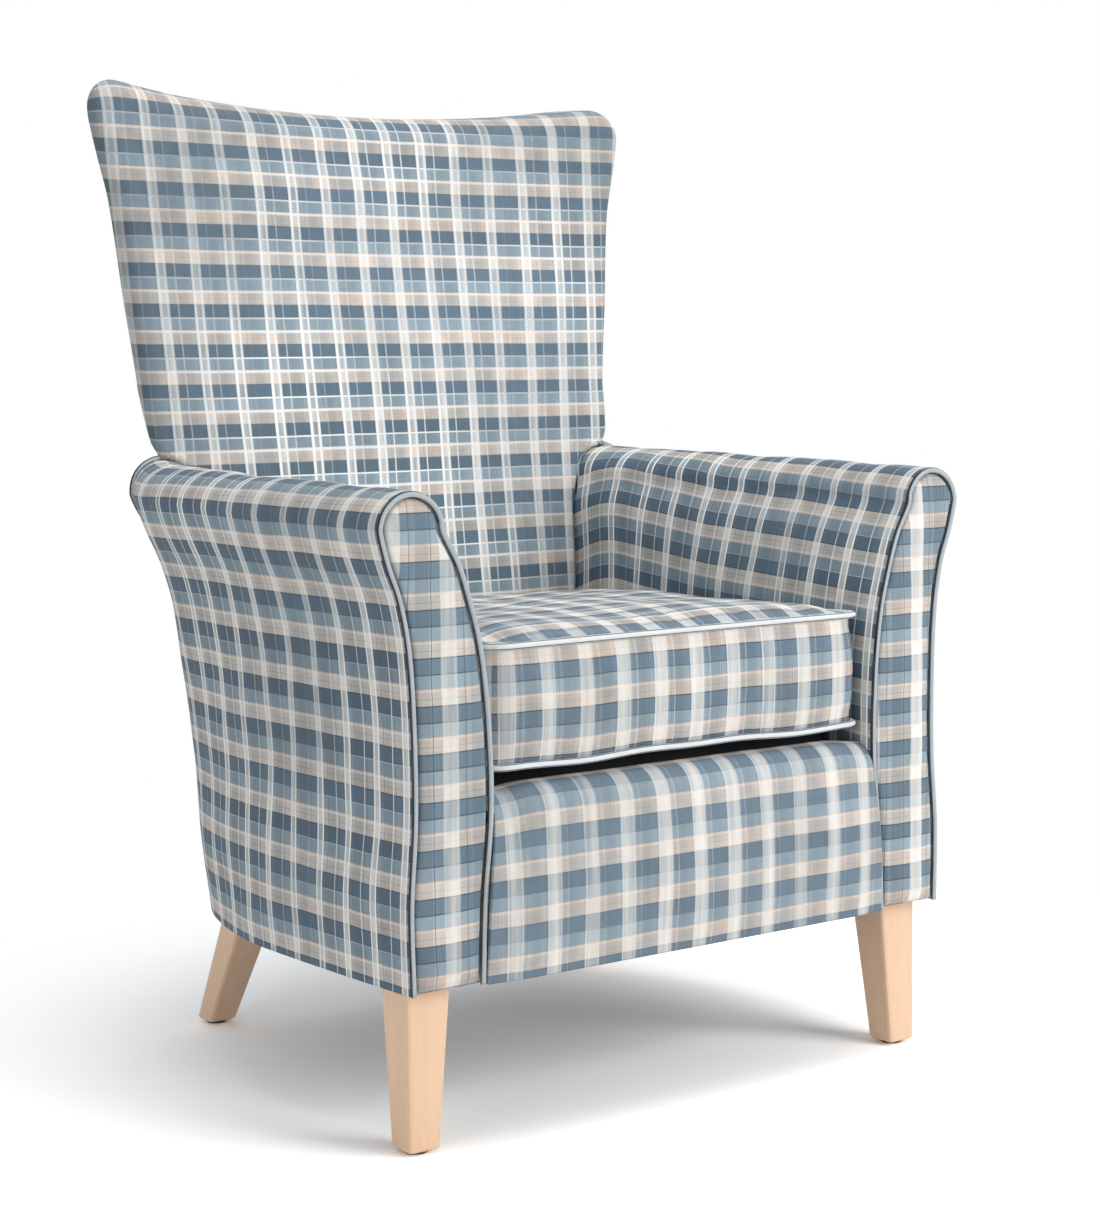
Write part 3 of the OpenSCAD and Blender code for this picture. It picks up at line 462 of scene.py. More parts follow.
class Nodes:
    """A material, with its Principled shader, that expressions add nodes to."""

    def __init__(self, name: str) -> None:
        """Starts an empty material."""
        self.material = bpy.data.materials.new(name)
        self.material.use_nodes = True
        self.tree = self.material.node_tree
        self.tree.nodes.clear()
        self.output = self.tree.nodes.new("ShaderNodeOutputMaterial")
        self.shader = self.tree.nodes.new("ShaderNodeBsdfPrincipled")
        self.tree.links.new(self.shader.outputs["BSDF"], self.output.inputs["Surface"])

    def _feed(self, node: bpy.types.Node, values: dict) -> None:
        """Sets or links each input by its name or number."""
        for key, value in values.items():
            if isinstance(value, Signal):
                self.tree.links.new(value.socket, node.inputs[key])
            else:
                node.inputs[key].default_value = value

    def add(self, kind: str, settings: dict | None = None, values: dict | None = None,
            out: str | int = 0) -> Signal:
        """Adds a node.

        Args:
            kind: the node's type.
            settings: its own settings; "stops" gives the stops of a colour ramp.
            values: numbers, colours or signals for its inputs, by name or number.
            out: the output to return.

        Returns:
            The signal of that output.
        """
        node = self.tree.nodes.new(kind)
        for key, value in (settings or {}).items():
            if key == "stops":
                ramp = node.color_ramp
                while len(ramp.elements) < len(value):
                    ramp.elements.new(1.0)
                for element, (place, colour) in zip(ramp.elements, value):
                    element.position = place
                    element.color = (*colour, 1.0)
            else:
                setattr(node, key, value)
        self._feed(node, values or {})
        return Signal(self, node.outputs[out])

    def finish(self, **values: "Signal | float | Colour") -> bpy.types.Material:
        """Feeds the Principled shader, whose inputs are named with _ for a space."""
        named = {k.replace("_", " "): v for k, v in values.items()}
        self._feed(self.shader, {
            k: (*v, 1.0) if isinstance(v, tuple) and len(v) == 3 else v for k, v in named.items()
        })
        return self.material

    def cloth(self) -> tuple[Signal, Signal]:
        """Lengths across and along the flat cloth, in metres."""
        place = self.add("ShaderNodeUVMap", {"uv_map": "cloth"})
        both = self.tree.nodes.new("ShaderNodeSeparateXYZ")
        self.tree.links.new(place.socket, both.inputs[0])
        return Signal(self, both.outputs[0]), Signal(self, both.outputs[1])

    def object_place(self) -> Signal:
        """Place on the piece in the frame, in metres."""
        return self.add("ShaderNodeTexCoord", out="Object")

    def stretched(self, x: "Signal | float", y: "Signal | float", z: "Signal | float" = 0.0) -> Signal:
        """A vector put together from three values."""
        return self.add("ShaderNodeCombineXYZ", values={0: x, 1: y, 2: z})

    def mapped(self, vector: Signal, scale: Colour, turn: Colour = (0.0, 0.0, 0.0)) -> Signal:
        """A vector scaled and turned about the origin."""
        return self.add("ShaderNodeMapping", values={"Vector": vector, "Scale": scale, "Rotation": turn})

    def noise(self, vector: Signal, scale: float = 1.0, detail: float = 2.0, rough: float = 0.5) -> Signal:
        """Soft noise from 0 to 1 over a vector."""
        return self.add(
            "ShaderNodeTexNoise", {"noise_dimensions": "3D"},
            {"Vector": vector, "Scale": scale, "Detail": detail, "Roughness": rough},
        )

    def mix(self, share: "Signal | float", first: "Signal | Colour", second: "Signal | Colour",
            blend: str = "MIX") -> Signal:
        """Blend of two colours by a share."""
        return self.add(
            "ShaderNodeMix", {"data_type": "RGBA", "blend_type": blend, "clamp_factor": True},
            {0: share, 6: first if isinstance(first, Signal) else (*first, 1.0),
             7: second if isinstance(second, Signal) else (*second, 1.0)}, out=2,
        )

    def shade(self, colour: Signal, amount: Signal) -> Signal:
        """A colour made lighter or darker by a factor about 1."""
        grey = self.stretched(amount, amount, amount)
        return self.add("ShaderNodeVectorMath", {"operation": "MULTIPLY"}, {0: colour, 1: grey})

    def bump(self, height: Signal, distance: float, strength: float = 1.0) -> Signal:
        """Normal of a surface raised by a height."""
        return self.add("ShaderNodeBump", values={
            "Height": height, "Distance": distance, "Strength": strength,
        }, out="Normal")


@dataclass(frozen=True)
class PlaidCloth:
    """A woven check: blue-grey and stone rows crossed by pale warp stripes, in metres.

    The rows repeat in shares of repeat_v: stone, a peach line, mist blue, slate blue, with dark
    lines between. A warp stripe takes stripe of repeat_u, with a chalk line at each edge. The cloth has
    painted light about a place on it with a radius, given as heart: its colour is painted brighter there
    and darker away from it.
    """

    name: str = "plaid_cloth"
    repeat_u: float = 0.0485
    repeat_v: float = 0.0465
    shift_u: float = 0.0
    shift_v: float = 0.0
    stripe: float = 0.30
    stripe_soft: float = 0.03
    pale: float = 0.52
    chalk_lines: float = 0.6
    chalk_rows: float = 0.35
    # Painted shade: depth makes a piece's copy of the cloth darker or lighter for how lit that piece is
    depth: float = 1.0
    hair_lines: float = 1.0
    warmth: float = 0.62
    line_w: float = 1.0
    top_lines: float = 0.0
    stone_extra: float = 0.14
    # Place on the cloth and radius of the painted pool of light; a wide radius leaves a piece evenly lit
    painted_light: tuple[float, float, float] = (0.0, 0.0, 9.0)
    slate: Colour = srgb(108, 128, 143)
    mist: Colour = srgb(149, 166, 175)
    stone: Colour = srgb(189, 185, 179)
    peach: Colour = srgb(224, 203, 187)
    ink: Colour = srgb(58, 70, 82)
    cream: Colour = srgb(244, 239, 231)
    chalk: Colour = srgb(251, 251, 250)

    def material(self) -> bpy.types.Material:
        """Builds the cloth: rows by a ramp over the length along the piece, warp stripes as masks over the
        length across it, thread streaks and faded patches from noise, a painted pool of light about one
        place, and a plain weave as the bump."""
        n = Nodes(self.name)
        u, v = n.cloth()
        waver = n.noise(n.stretched(u * 7, v * 7), detail=2.0) - 0.5
        cu = (u + waver * 0.0034 + self.shift_u) / self.repeat_u
        cv = (v + waver * 0.0026 + self.shift_v) / self.repeat_v
        across, weft = cu.fraction(), cv.fraction()
        rows = n.add(
            "ShaderNodeValToRGB",
            {"stops": [
                (0.0, self.ink), (0.016, self.ink), (0.034, self.stone), (0.31, self.stone),
                (0.33, self.peach), (0.355, self.peach), (0.385, self.mist), (0.65, self.mist),
                (0.664, self.ink), (0.672, self.ink), (0.692, self.slate), (0.985, self.slate),
            ]},
            {"Fac": weft},
        )
        # Each warp stripe, row and check differs a little from the next, as dyed yarn does
        column = n.add("ShaderNodeTexWhiteNoise", {"noise_dimensions": "1D"}, {"W": cu.whole() + 0.5})
        cell = n.add(
            "ShaderNodeTexWhiteNoise", {"noise_dimensions": "2D"},
            {"Vector": n.stretched(cu.whole() + 0.5, cv.whole() + 0.5)},
        )
        row = n.add("ShaderNodeTexWhiteNoise", {"noise_dimensions": "1D"}, {"W": (cv * 3.0).whole() + 0.5})
        warp_fine = n.noise(n.stretched(u * 520, v * 9), detail=3.0)
        warp_wide = n.noise(n.stretched(u * 110, v * 5), detail=2.0)
        weft_fine = n.noise(n.stretched(u * 9, v * 420), detail=3.0)
        faded = n.noise(n.stretched(u * 6.5, v * 6.5), detail=3.0, rough=0.6)
        mottle = n.noise(n.stretched(u * 55, v * 40), detail=3.0, rough=0.65)
        tone = (
            0.965 + (cell - 0.5) * 0.12 + (row - 0.5) * 0.16 + (warp_fine - 0.5) * 0.20
            + (warp_wide - 0.5) * 0.34 + (weft_fine - 0.5) * 0.12 + (faded - 0.5) * 0.42
            + (mottle - 0.5) * 0.26
        )
        # Painted light: brighter near that place on the cloth, fading to darker beyond its radius
        off = n.stretched((u - self.painted_light[0]) / self.painted_light[2], (v - self.painted_light[1]) / self.painted_light[2])
        outer = n.add("ShaderNodeVectorMath", {"operation": "LENGTH"}, {0: off}, out="Value")
        painted_light = 1 - outer.rise(0.45, 1.25)
        on_stone = weft.band(0.03, 0.32, 0.02)
        blush = n.noise(n.stretched(u * 13 + 3.0, v * 13), detail=2.0).rise(0.44, 0.66)
        colour = n.mix(on_stone * blush * self.warmth, rows, self.peach)
        # Painted shade and light: scaled by the piece's depth, and brighter within the painted pool of
        # light
        colour = n.shade(colour, tone * (self.depth * (0.70 + painted_light * 0.31)))
        dim = across.band(0.56, 0.80, 0.03) * (0.10 + warp_wide * 0.22)
        hair = across.band(0.445, 0.455, 0.007).most(across.band(0.835, 0.847, 0.007))
        hair = hair.most(weft.band(0.162, 0.172, 0.008) * 0.5)
        colour = n.mix(dim + hair * ((0.25 + mottle * 0.55) * self.hair_lines), colour, self.ink)
        wide = across.band(0.02, self.stripe, self.stripe_soft)
        share = self.pale * (0.55 + column * 0.5) + on_stone * self.stone_extra + (warp_wide - 0.5) * 0.8
        # The pale stripes show more within the painted pool of light
        colour = n.mix(wide * share * (0.60 + painted_light * 0.42), colour, self.cream)
        # Chalk lines are brighter in random patches, and more so within the painted pool of light
        bright = n.noise(n.stretched(u * 3.2 + 7.0, v * 3.2), detail=1.0).rise(0.34, 0.60)
        bright = bright * (0.25 + painted_light * 0.75)
        w = self.line_w
        line = across.band(0.0, 0.040 * w, 0.016)
        line = line.most(across.band(self.stripe - 0.02 * w, self.stripe + 0.015 * w, 0.014) * 0.8)
        line = line.most(across.band(0.53, 0.53 + 0.018 * w, 0.012) * (column * 0.8))
        thin = weft.band(0.30, 0.30 + 0.035 * w, 0.014) * 0.7
        thin = thin.most(weft.band(0.655, 0.655 + 0.018 * w, 0.010))
        on_top = v.rise(0.0, 0.05) * self.top_lines
        dark_rows = weft.band(0.42, 0.46, 0.02).most(weft.band(0.91, 0.96, 0.02))
        colour = n.mix(dark_rows * on_top * 0.85, colour, self.ink)
        threads = (line * self.chalk_lines).most(thin * (on_top + self.chalk_rows))
        # Chalk threads show most within the painted pool of light and the bright patches
        colour = n.mix(threads * (0.10 + painted_light * 0.35 + bright * 0.75), colour, self.chalk)
        weave = (u * 4200).sine() * (v * 4200).sine()
        slub = warp_fine + weft_fine
        return n.finish(
            Base_Color=colour, Roughness=0.72 + (warp_wide - 0.5) * 0.25,
            Normal=n.bump(weave * 0.35 + slub + mottle, 0.0007, 0.55),
            Sheen_Weight=0.08, Sheen_Roughness=0.5, Specular_IOR_Level=0.35,
        )


@dataclass(frozen=True)
class PipingCloth:
    """A covered cord with painted shade in dark creases along it, where it lies against the cloth, given as
    shares of a turn round it.
    """

    name: str
    pale: Colour
    dark: Colour
    shaded_creases: tuple[tuple[float, float], ...]

    def material(self) -> bpy.types.Material:
        """Builds the cord: painted shade in its creases, with bias threads wound round it."""
        n = Nodes(self.name)
        length, turn = n.cloth()
        thread = ((length * 2600) + (turn * 12.566)).sine() * 0.5 + 0.5
        worn = n.noise(n.stretched(length * 42, turn * 3), detail=3.0)
        # Painted shade: the cord is dark in its creases
        inner = turn.band(*self.shaded_creases[0], 0.03)
        for low, high in self.shaded_creases[1:]:
            inner = inner.most(turn.band(low, high, 0.03))
        colour = n.mix(inner * (0.72 + worn * 0.5), self.pale, self.dark)
        colour = n.shade(colour, 0.80 + worn * 0.28 + thread * 0.10)
        return n.finish(
            Base_Color=colour, Roughness=0.72 + worn * 0.15,
            Normal=n.bump(thread + worn * 0.5, 0.0004, 0.5), Sheen_Weight=0.1,
        )


@dataclass(frozen=True)
class WovenCloth:
    """A plain cloth, such as the black platform cloth or the foam's lining."""

    name: str
    colour: Colour
    pitch: float
    fuzz: float = 0.1
    rough: float = 0.88

    def material(self) -> bpy.types.Material:
        """Builds the cloth on the piece's own place: a weave along two directions and soft fading."""
        n = Nodes(self.name)
        u, v = n.cloth()
        turns = 2 * math.pi / self.pitch
        weave = (u * turns).sine() * (v * turns).sine()
        fade = n.noise(n.stretched(u * 18, v * 18), detail=3.0)
        colour = n.shade(n.mix(0.0, self.colour, self.colour), 0.86 + fade * 0.24 + weave * 0.05)
        return n.finish(
            Base_Color=colour, Roughness=self.rough + (fade - 0.5) * 0.12,
            Normal=n.bump(weave + fade, 0.0004, 0.5), Sheen_Weight=self.fuzz,
        )


@dataclass(frozen=True)
class Timber:
    """Planed wood with its grain along one axis: rings cut at a slant, pores and a lacquer."""

    name: str
    light: Colour
    dark: Colour
    along: Colour = (1.0, 1.0, 0.08)
    rings: float = 26.0
    coat: float = 0.25
    rough: float = 0.42

    def material(self) -> bpy.types.Material:
        """Builds the wood from noise that is stretched along the grain."""
        n = Nodes(self.name)
        place = n.object_place()
        grain = n.mapped(place, tuple(self.rings * a for a in self.along))
        bend = n.noise(grain, scale=0.6, detail=2.0)
        figure = n.noise(grain, scale=2.6, detail=6.0, rough=0.62)
        rings = ((figure * 2.2 + bend * 1.6) * 6.2832).sine() * 0.5 + 0.5
        fleck_place = n.mapped(place, tuple(900.0 * a for a in self.along))
        pores = n.noise(fleck_place, scale=1.0, detail=2.0).rise(0.60, 0.78)
        colour = n.mix(rings * 0.18 + bend * 0.30, self.light, self.dark)
        colour = n.shade(colour, 1.02 - pores * 0.13)
        return n.finish(
            Base_Color=colour, Roughness=self.rough + pores * 0.2,
            Normal=n.bump(rings * 0.3 - pores, 0.00025, 0.4), Coat_Weight=self.coat,
            Coat_Roughness=0.3,
        )


@dataclass(frozen=True)
class Speckled:
    """A moulded, cast or foamed stuff with a fine surface, such as plastic, steel or foam."""

    name: str
    colour: Colour
    grain: float
    depth: float
    rough: float
    metal: float = 0.0
    vary: float = 0.12

    def material(self) -> bpy.types.Material:
        """Builds the stuff: fine noise for its grain, and coarse noise for its wear."""
        n = Nodes(self.name)
        place = n.object_place()
        fine = n.noise(place, scale=self.grain, detail=4.0, rough=0.6)
        worn = n.noise(place, scale=self.grain / 14, detail=3.0)
        colour = n.shade(n.mix(0.0, self.colour, self.colour), 1 - self.vary / 2 + (worn - 0.5) * self.vary
                         + (fine - 0.5) * self.vary)
        return n.finish(
            Base_Color=colour, Metallic=self.metal, Roughness=self.rough + (worn - 0.5) * 0.22,
            Normal=n.bump(fine, self.depth, 0.6),
        )


@dataclass(frozen=True)
class ZipTape:
    """A coil zip: two rows of teeth down the middle of a twill tape, on the piece's own place."""

    name: str = "zip_tape"
    middle: float = 0.4293
    tape: Colour = srgb(150, 156, 160)
    teeth: Colour = srgb(196, 198, 200)

    def material(self) -> bpy.types.Material:
        """Builds the tape: twill lines across it, and teeth in a band about its middle height."""
        n = Nodes(self.name)
        split = n.tree.nodes.new("ShaderNodeSeparateXYZ")
        n.tree.links.new(n.object_place().socket, split.inputs[0])
        x, z = Signal(n, split.outputs[0]), Signal(n, split.outputs[2])
        coil = (z - self.middle).band(-0.0032, 0.0032, 0.0003)
        tooth = (x * (2 * math.pi / 0.0024)).sine() * 0.5 + 0.5
        twill = ((x + z) * 5200).sine() * 0.5 + 0.5
        colour = n.shade(n.mix(coil * tooth, self.tape, self.teeth), 0.85 + twill * 0.15)
        return n.finish(
            Base_Color=colour, Roughness=0.75 - coil * 0.35,
            Normal=n.bump(coil * tooth * 2 + twill * 0.3, 0.0006, 0.7),
        )


# The chair's form


@dataclass(frozen=True)
class Form:
    """The chair's sizes, and the surfaces that its covers share. The shares are of arm_w."""

    seat_half: float = 0.260
    arm_w: float = 0.092
    base_d: float = 0.565
    base_z: float = 0.168
    arm_z: float = 0.655
    arm_rise: float = 0.015
    arch_h: float = 0.038
    deck_z: float = 0.370
    ear_z: float = 1.100
    rake: float = math.tan(math.radians(8.1))
    lean: float = math.tan(math.radians(7.5))
    back_t: float = 0.0617
    ear_forward: float = 0.036
    back_low_half: float = 0.322
    back_top_half: float = 0.371
    back_rear_half: float = 0.328
    ear_r: float = 0.035
    back_dip: float = 0.022
    roll_r: float = 0.036
    side_r: float = 0.025
    cloth_t: float = 0.0015
    fit: float = 0.0003
    crevice: float = 0.0015
    front_reach: float = 0.006
    pipe_r: float = 0.003
    # Points of an arm's section where the back follows it, degrees between the points of an arch
    # and of an ear, and the shares of the way to the ear at which the top's dip has its points
    section_points: int = 240
    arch_step: float = 15.0
    ear_step: float = 9.0
    dip_shares: tuple[float, ...] = (0.9, 0.75, 0.55, 0.37, 0.18, 0.0)
    arm_table: np.ndarray = field(default_factory=lambda: np.array([
        [0, .043, .989], [.19, 0, 1], [.38, -.087, .935], [.58, -.065, .935],
        [.74, .022, .978], [.85, .158, 1.076], [.93, .293, 1.217], [1, .478, 1.304]]))
    low_drift: np.ndarray = field(default_factory=lambda: np.array([
        [0, 0], [.21, .065], [.46, .109], [.56, .076], [.69, -.076], [.81, -.315], [1, -.913]]))
    top_drift: np.ndarray = field(default_factory=lambda: np.array([
        [0, 0], [.25, .05], [.5, .065], [.7, .045], [.8, -.02], [.9, -.33], [1, -.82]]))
    in_swell: np.ndarray = field(default_factory=lambda: np.array([
        [0, 0], [.5, 0], [.9, .32], [1, .32]]))
    in_height: np.ndarray = field(default_factory=lambda: np.array([
        [0, 0], [.74, 0], [.85, .35], [.93, .7], [1, 1]]))
    in_pinch: np.ndarray = field(default_factory=lambda: np.array([[0, 0], [.9, 0], [1, .12]]))
    flare: np.ndarray = field(default_factory=lambda: np.array([
        [.05, .02], [.24, .18], [.41, .35], [.68, .59], [.8, .82], [.89, .98]]))

    @property
    def spring_line(self) -> float:
        """Height of an arm's sides, from its hem to the spring of its arch."""
        return self.arm_z - self.arch_h - self.base_z

    @property
    def peak_z(self) -> float:
        """Height of the arm's top where it meets the back."""
        return self.arm_z + self.arm_rise

    @property
    def rear_skin(self) -> float:
        """Thickness of the outside back."""
        return self.cloth_t + 2 * self.fit

    def settle(self, points: np.ndarray) -> np.ndarray:
        """Moves points measured from the facings so that the chair's middle depth is Y = 0."""
        shift = (self.rear_y(self.ear_z) - self.front_reach) / 2
        return points - np.array([0, shift, 0])

    def at(self, deep: float) -> float:
        """Y in the frame of a depth measured from the facings."""
        return float(self.settle(np.array([0.0, deep, 0.0]))[1])

    def rear_y(self, z: np.ndarray | float) -> np.ndarray | float:
        """Depth of the outside back at a height: it leans by its rake from the hem up."""
        return self.base_d + (z - self.base_z) * self.rake

    def front_y(self, x: np.ndarray, z: np.ndarray) -> np.ndarray:
        """Depth of the inside back: it leans by its own angle from the seat up, less the reach of
        the ears, which grows with the height and with the square of x."""
        seat_d = self.rear_y(self.deck_z) - self.back_t
        high = np.maximum(0, (z - self.deck_z) / (self.ear_z - self.deck_z))
        reach = self.ear_forward * high * (x / self.back_top_half) ** 2
        return seat_d + (z - self.deck_z) * self.lean - reach

    def arm_sections(self, v: np.ndarray, last_rung: int = 0) -> np.ndarray:
        """Sections of the right arm in X and Z at shares v of its length.

        Each runs up the outside, over a half round arch and down the inside. An edge's X is half
        the seat's width plus the arm's width times its table's value at that height; the outside
        also drifts with the length, and the inside swells and pinches toward the back.

        Args:
            v: shares of the arm's length.
            last_rung: number of the lowest rung of the table on the inside.

        Returns:
            Points in the order (along the section, v, X and Z).
        """
        t = self.arm_table[:, 0][:, None]
        v = np.asarray(v, float)[None]
        low = smooth_table(v, self.low_drift[:, 0], self.low_drift[:, 1])
        top = smooth_table(v, self.top_drift[:, 0], self.top_drift[:, 1])
        swell = np.interp(v, self.in_swell[:, 0], self.in_swell[:, 1])
        high = np.interp(t, self.in_height[:, 0], self.in_height[:, 1])
        pinch = np.interp(v, self.in_pinch[:, 0], self.in_pinch[:, 1])
        outer = self.seat_half + self.arm_w * (self.arm_table[:, 2][:, None] + low + (top - low) * t)
        inner = self.seat_half + self.arm_w * (self.arm_table[:, 1][:, None] - swell * high - pinch)
        level = self.base_z + t * (self.spring_line + self.arm_rise * v)
        angle = np.radians(np.arange(self.arch_step, 180, self.arch_step))[:, None]
        middle, half = (inner[-1] + outer[-1]) / 2, (outer[-1] - inner[-1]) / 2
        arch = in_plane(middle + half * np.cos(angle), level[-1] + self.arch_h * np.sin(angle))
        up = in_plane(outer, np.broadcast_to(level, outer.shape))
        down = in_plane(inner, np.broadcast_to(level, inner.shape))[last_rung:][::-1]
        return np.concatenate([up, arch, down])

    def arm_depth(self, v: np.ndarray, z: np.ndarray) -> np.ndarray:
        """Depth of the arm's cover at a share of its length, which follows the raked back."""
        front = self.pipe_r + self.fit
        return front + (self.rear_y(z) - self.rear_skin - front) * v

    def back_inside_arm(self, v: float) -> np.ndarray:
        """Right edge of the back in X and Z along the arm's inside at a share of its length, from
        its foot up to the arm's peak, a crevice away from it."""
        section = smooth_curve(self.arm_sections(np.array([v]), last_rung=2)[:, 0], self.section_points)
        peak = int(np.argmax(section[:, 1]))
        inside = section[peak:][::-1]
        return inside + self.crevice * sideways(inside)

    def ear(self, first: float, last: float) -> np.ndarray:
        """The round of the right ear in X and Z between two angles in degrees above the level."""
        turn = np.radians(np.arange(first, last + 1, self.ear_step))
        centre = np.array([self.back_top_half - self.ear_r, self.ear_z - self.ear_r])
        return centre + self.ear_r * in_plane(np.cos(turn), np.sin(turn))

    def back_side(self) -> np.ndarray:
        """Right edge of the back in X and Z above the arms, up the flare to the ear's middle."""
        half = self.back_low_half + (self.back_top_half - self.back_low_half) * self.flare[:, 1]
        level = self.peak_z + (self.ear_z - self.peak_z) * self.flare[:, 0]
        return np.concatenate([in_plane(half, level), self.ear(0, 45)])

    def back_top(self) -> np.ndarray:
        """Right half of the back's top edge in X and Z, from the middle of the ear inwards: the
        rest of the ear, and a dip that deepens with the square of the way to the middle."""
        share = np.array(self.dip_shares)
        reach = self.back_top_half - self.ear_r
        dip = in_plane(reach * share, self.ear_z - self.back_dip * (1 - share**2))
        return np.concatenate([self.ear(45, 90), dip])


class Side(Enum):
    """The two sides of the chair, with the sign of X there."""

    LEFT = -1
    RIGHT = 1


def mirrored(panel: Panel, side: Side) -> Panel:
    """A panel of the right side, or the mirror image of it for the left."""
    if side is Side.RIGHT:
        return panel
    return Panel(panel.points * np.array([-1, 1, 1]), panel.cloth, not panel.outward)


def dress(piece: bpy.types.Object, material: bpy.types.Material, body: Body) -> None:
    """Gives a piece its one material and the body that it rides on."""
    piece.data.materials.clear()
    piece.data.materials.append(material)
    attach(piece, body.value)


@dataclass
class Arm:
    """One upholstered arm: its wrapped cover, its padded facing and the piping between them."""

    form: Form
    side: Side
    cloth: bpy.types.Material
    facing_cloth: bpy.types.Material
    piping: bpy.types.Material
    rows: int = 90
    columns: int = 150
    # Thickness of the cover with its foam, and the rumples of its slack, which is still at both
    # ends, given as shares of the arm's length, and at the hem
    wall: float = 0.005
    slack: Waves = ((0.0007, 6.0, 3.1, 0.1), (0.0005, 11.0, -4.0, 0.4), (0.0004, 3.0, 9.0, 0.7))
    slack_ends: tuple[float, float] = (0.08, 0.93)
    slack_hem: float = 0.03
    # Points of the facing: its rim, each side, each chord between them and its hem
    rim_points: int = 401
    side_points: int = 120
    chord_points: int = 41
    hem_points: int = 60
    # The facing's crown grows over crown_reach from its rim. At the rim it turns back by its own
    # thickness less a gap, which dies away over turn_back
    crown: float = 0.005
    crown_reach: float = 0.010
    turn_back: float = 0.0016
    facing_t: float = 0.008
    facing_gap: float = 0.001
    puckers: Waves = ((0.0005, 8.0, 5.0, 0.2), (0.0004, 3.0, 12.0, 0.6))
    pucker_edge: tuple[float, float] = (0.002, 0.02)
    # The tuck lies at these shares of the arm's length, over its top and low down. It stands out
    # of the cover over the top, and is sunk into it elsewhere
    tuck_top: float = 0.90
    tuck_low: float = 0.993
    tuck_r: float = 0.0030
    tuck_out: float = 0.0055
    tuck_sunk: float = 0.0018
    # Places along the section, counted in its points from the arm's peak: where the tuck ends,
    # moves from one share to the other, begins to stand out and stops
    tuck_points: int = 500
    tuck_end: int = 45
    tuck_shift: tuple[int, int] = (-95, -15)
    tuck_rise: tuple[int, int] = (-90, -10)
    tuck_fall: tuple[int, int] = (15, 44)

    @property
    def tag(self) -> str:
        """Name of the side."""
        return self.side.name.lower()

    def cover(self) -> bpy.types.Object:
        """The cover in one piece over the arm: the arm's section at each share of its length,
        smoothed along its own length. The cloth is measured along the hem and up the section."""
        v = np.linspace(0, 1, self.rows)
        section = smooth_curve(self.form.arm_sections(v, last_rung=2), self.columns)
        points = in_space(section[..., 0], self.form.arm_depth(v[None], section[..., 1]), section[..., 1])
        up = travelled(section)
        along = np.broadcast_to(v[None] * self.form.base_d, up.shape)
        # Slack of the cloth: it rises and falls by under a millimetre, not at its edges
        front, rear = self.slack_ends
        calm = (ease(0, front, v) * (1 - ease(rear, 1, v)))[None] * ease(0, self.slack_hem, up)
        wave = ripple(along, up, self.slack)
        across = np.gradient(section, axis=0)
        across /= np.linalg.norm(across, axis=-1, keepdims=True)
        points[..., 0] -= calm * wave * across[..., 1]
        points[..., 2] += calm * wave * across[..., 0]
        panel = Panel(self.form.settle(points), in_plane(along, up))
        piece = Workshop.sew(f"arm_wrap_{self.tag}", [mirrored(panel, self.side)])
        Workshop.thicken(piece, self.wall)
        dress(piece, self.cloth, Body.CHAIR)
        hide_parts(f"arm_cover_{self.tag}", f"arm_foam_{self.tag}")
        return piece

    def front_edge(self, inside: float, count: int = 260) -> np.ndarray:
        """The arm's front outline in X and Z, moved inwards."""
        edge = smooth_curve(self.form.arm_sections(np.array([0.0]))[:, 0], count)
        return edge + inside * sideways(edge)

    def facing(self) -> bpy.types.Object:
        """The padded front: level chords from the outer to the inner edge, which come forward
        with the distance from the edge as a crown, and turn back at the edge to a flat rear."""
        rim = self.front_edge(2 * self.form.pipe_r + self.form.fit, self.rim_points)
        top = int(np.argmax(rim[:, 1]))
        outer = smooth_curve(rim[:top + 1], self.side_points)
        inner = smooth_curve(rim[top:][::-1], self.side_points)
        across = to_edges(0, 1, self.chord_points)
        flat = outer[:, None] + (inner - outer)[:, None] * across[None, :, None]
        hem = np.linspace(outer[0, 0], inner[0, 0], self.hem_points)
        hem = in_plane(hem, np.full(self.hem_points, self.form.base_z))
        gap = distance_to(flat, np.concatenate([rim, hem]))
        gap[:, [0, -1]] = gap[[0, -1]] = 0
        rear_depth = self.facing_t - self.facing_gap
        domed = self.crown * (1 - np.exp(-gap / self.crown_reach))
        depth = rear_depth * np.exp(-gap / self.turn_back) - domed
        depth += ripple(flat[..., 0], flat[..., 1], self.puckers) * ease(*self.pucker_edge, gap)
        front = in_space(flat[..., 0], depth, flat[..., 1])
        rear = in_space(flat[..., 0], np.full_like(depth, rear_depth), flat[..., 1])
        cloth = in_plane(self.side.value * flat[..., 0], flat[..., 1])
        panels = [
            mirrored(Panel(self.form.settle(points), cloth, outward), self.side)
            for points, outward in ((front, False), (rear, True))
        ]
        piece = Workshop.sew(f"arm_front_{self.tag}", panels)
        dress(piece, self.facing_cloth, Body.CHAIR)
        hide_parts(f"arm_facing_{self.tag}")
        return piece

    def facing_cord(self) -> bpy.types.Object:
        """The piping round the facing, a round cord along the arm's front edge."""
        edge = self.front_edge(self.form.pipe_r)
        path = in_space(edge[:, 0], np.zeros(len(edge)), edge[:, 1])
        piece = self.cord("arm_cord", path, self.form.pipe_r)
        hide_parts(f"facing_piping_{self.tag}")
        return piece

    def cord(self, name: str, path: np.ndarray, radius: float) -> bpy.types.Object:
        """Piping along a path of the right arm, or its mirror image on the left arm.

        Args:
            name: the piece's name, without its side.
            path: points along its middle, with depths from the facings.
            radius: of the piping.

        Returns:
            The dressed piece.
        """
        path = path * np.array([self.side.value, 1, 1])
        if self.side is Side.LEFT:
            path = path[::-1]
        piece = Workshop.tube(f"{name}_{self.tag}", self.form.settle(path), radius, False)
        dress(piece, self.piping, Body.CHAIR)
        return piece

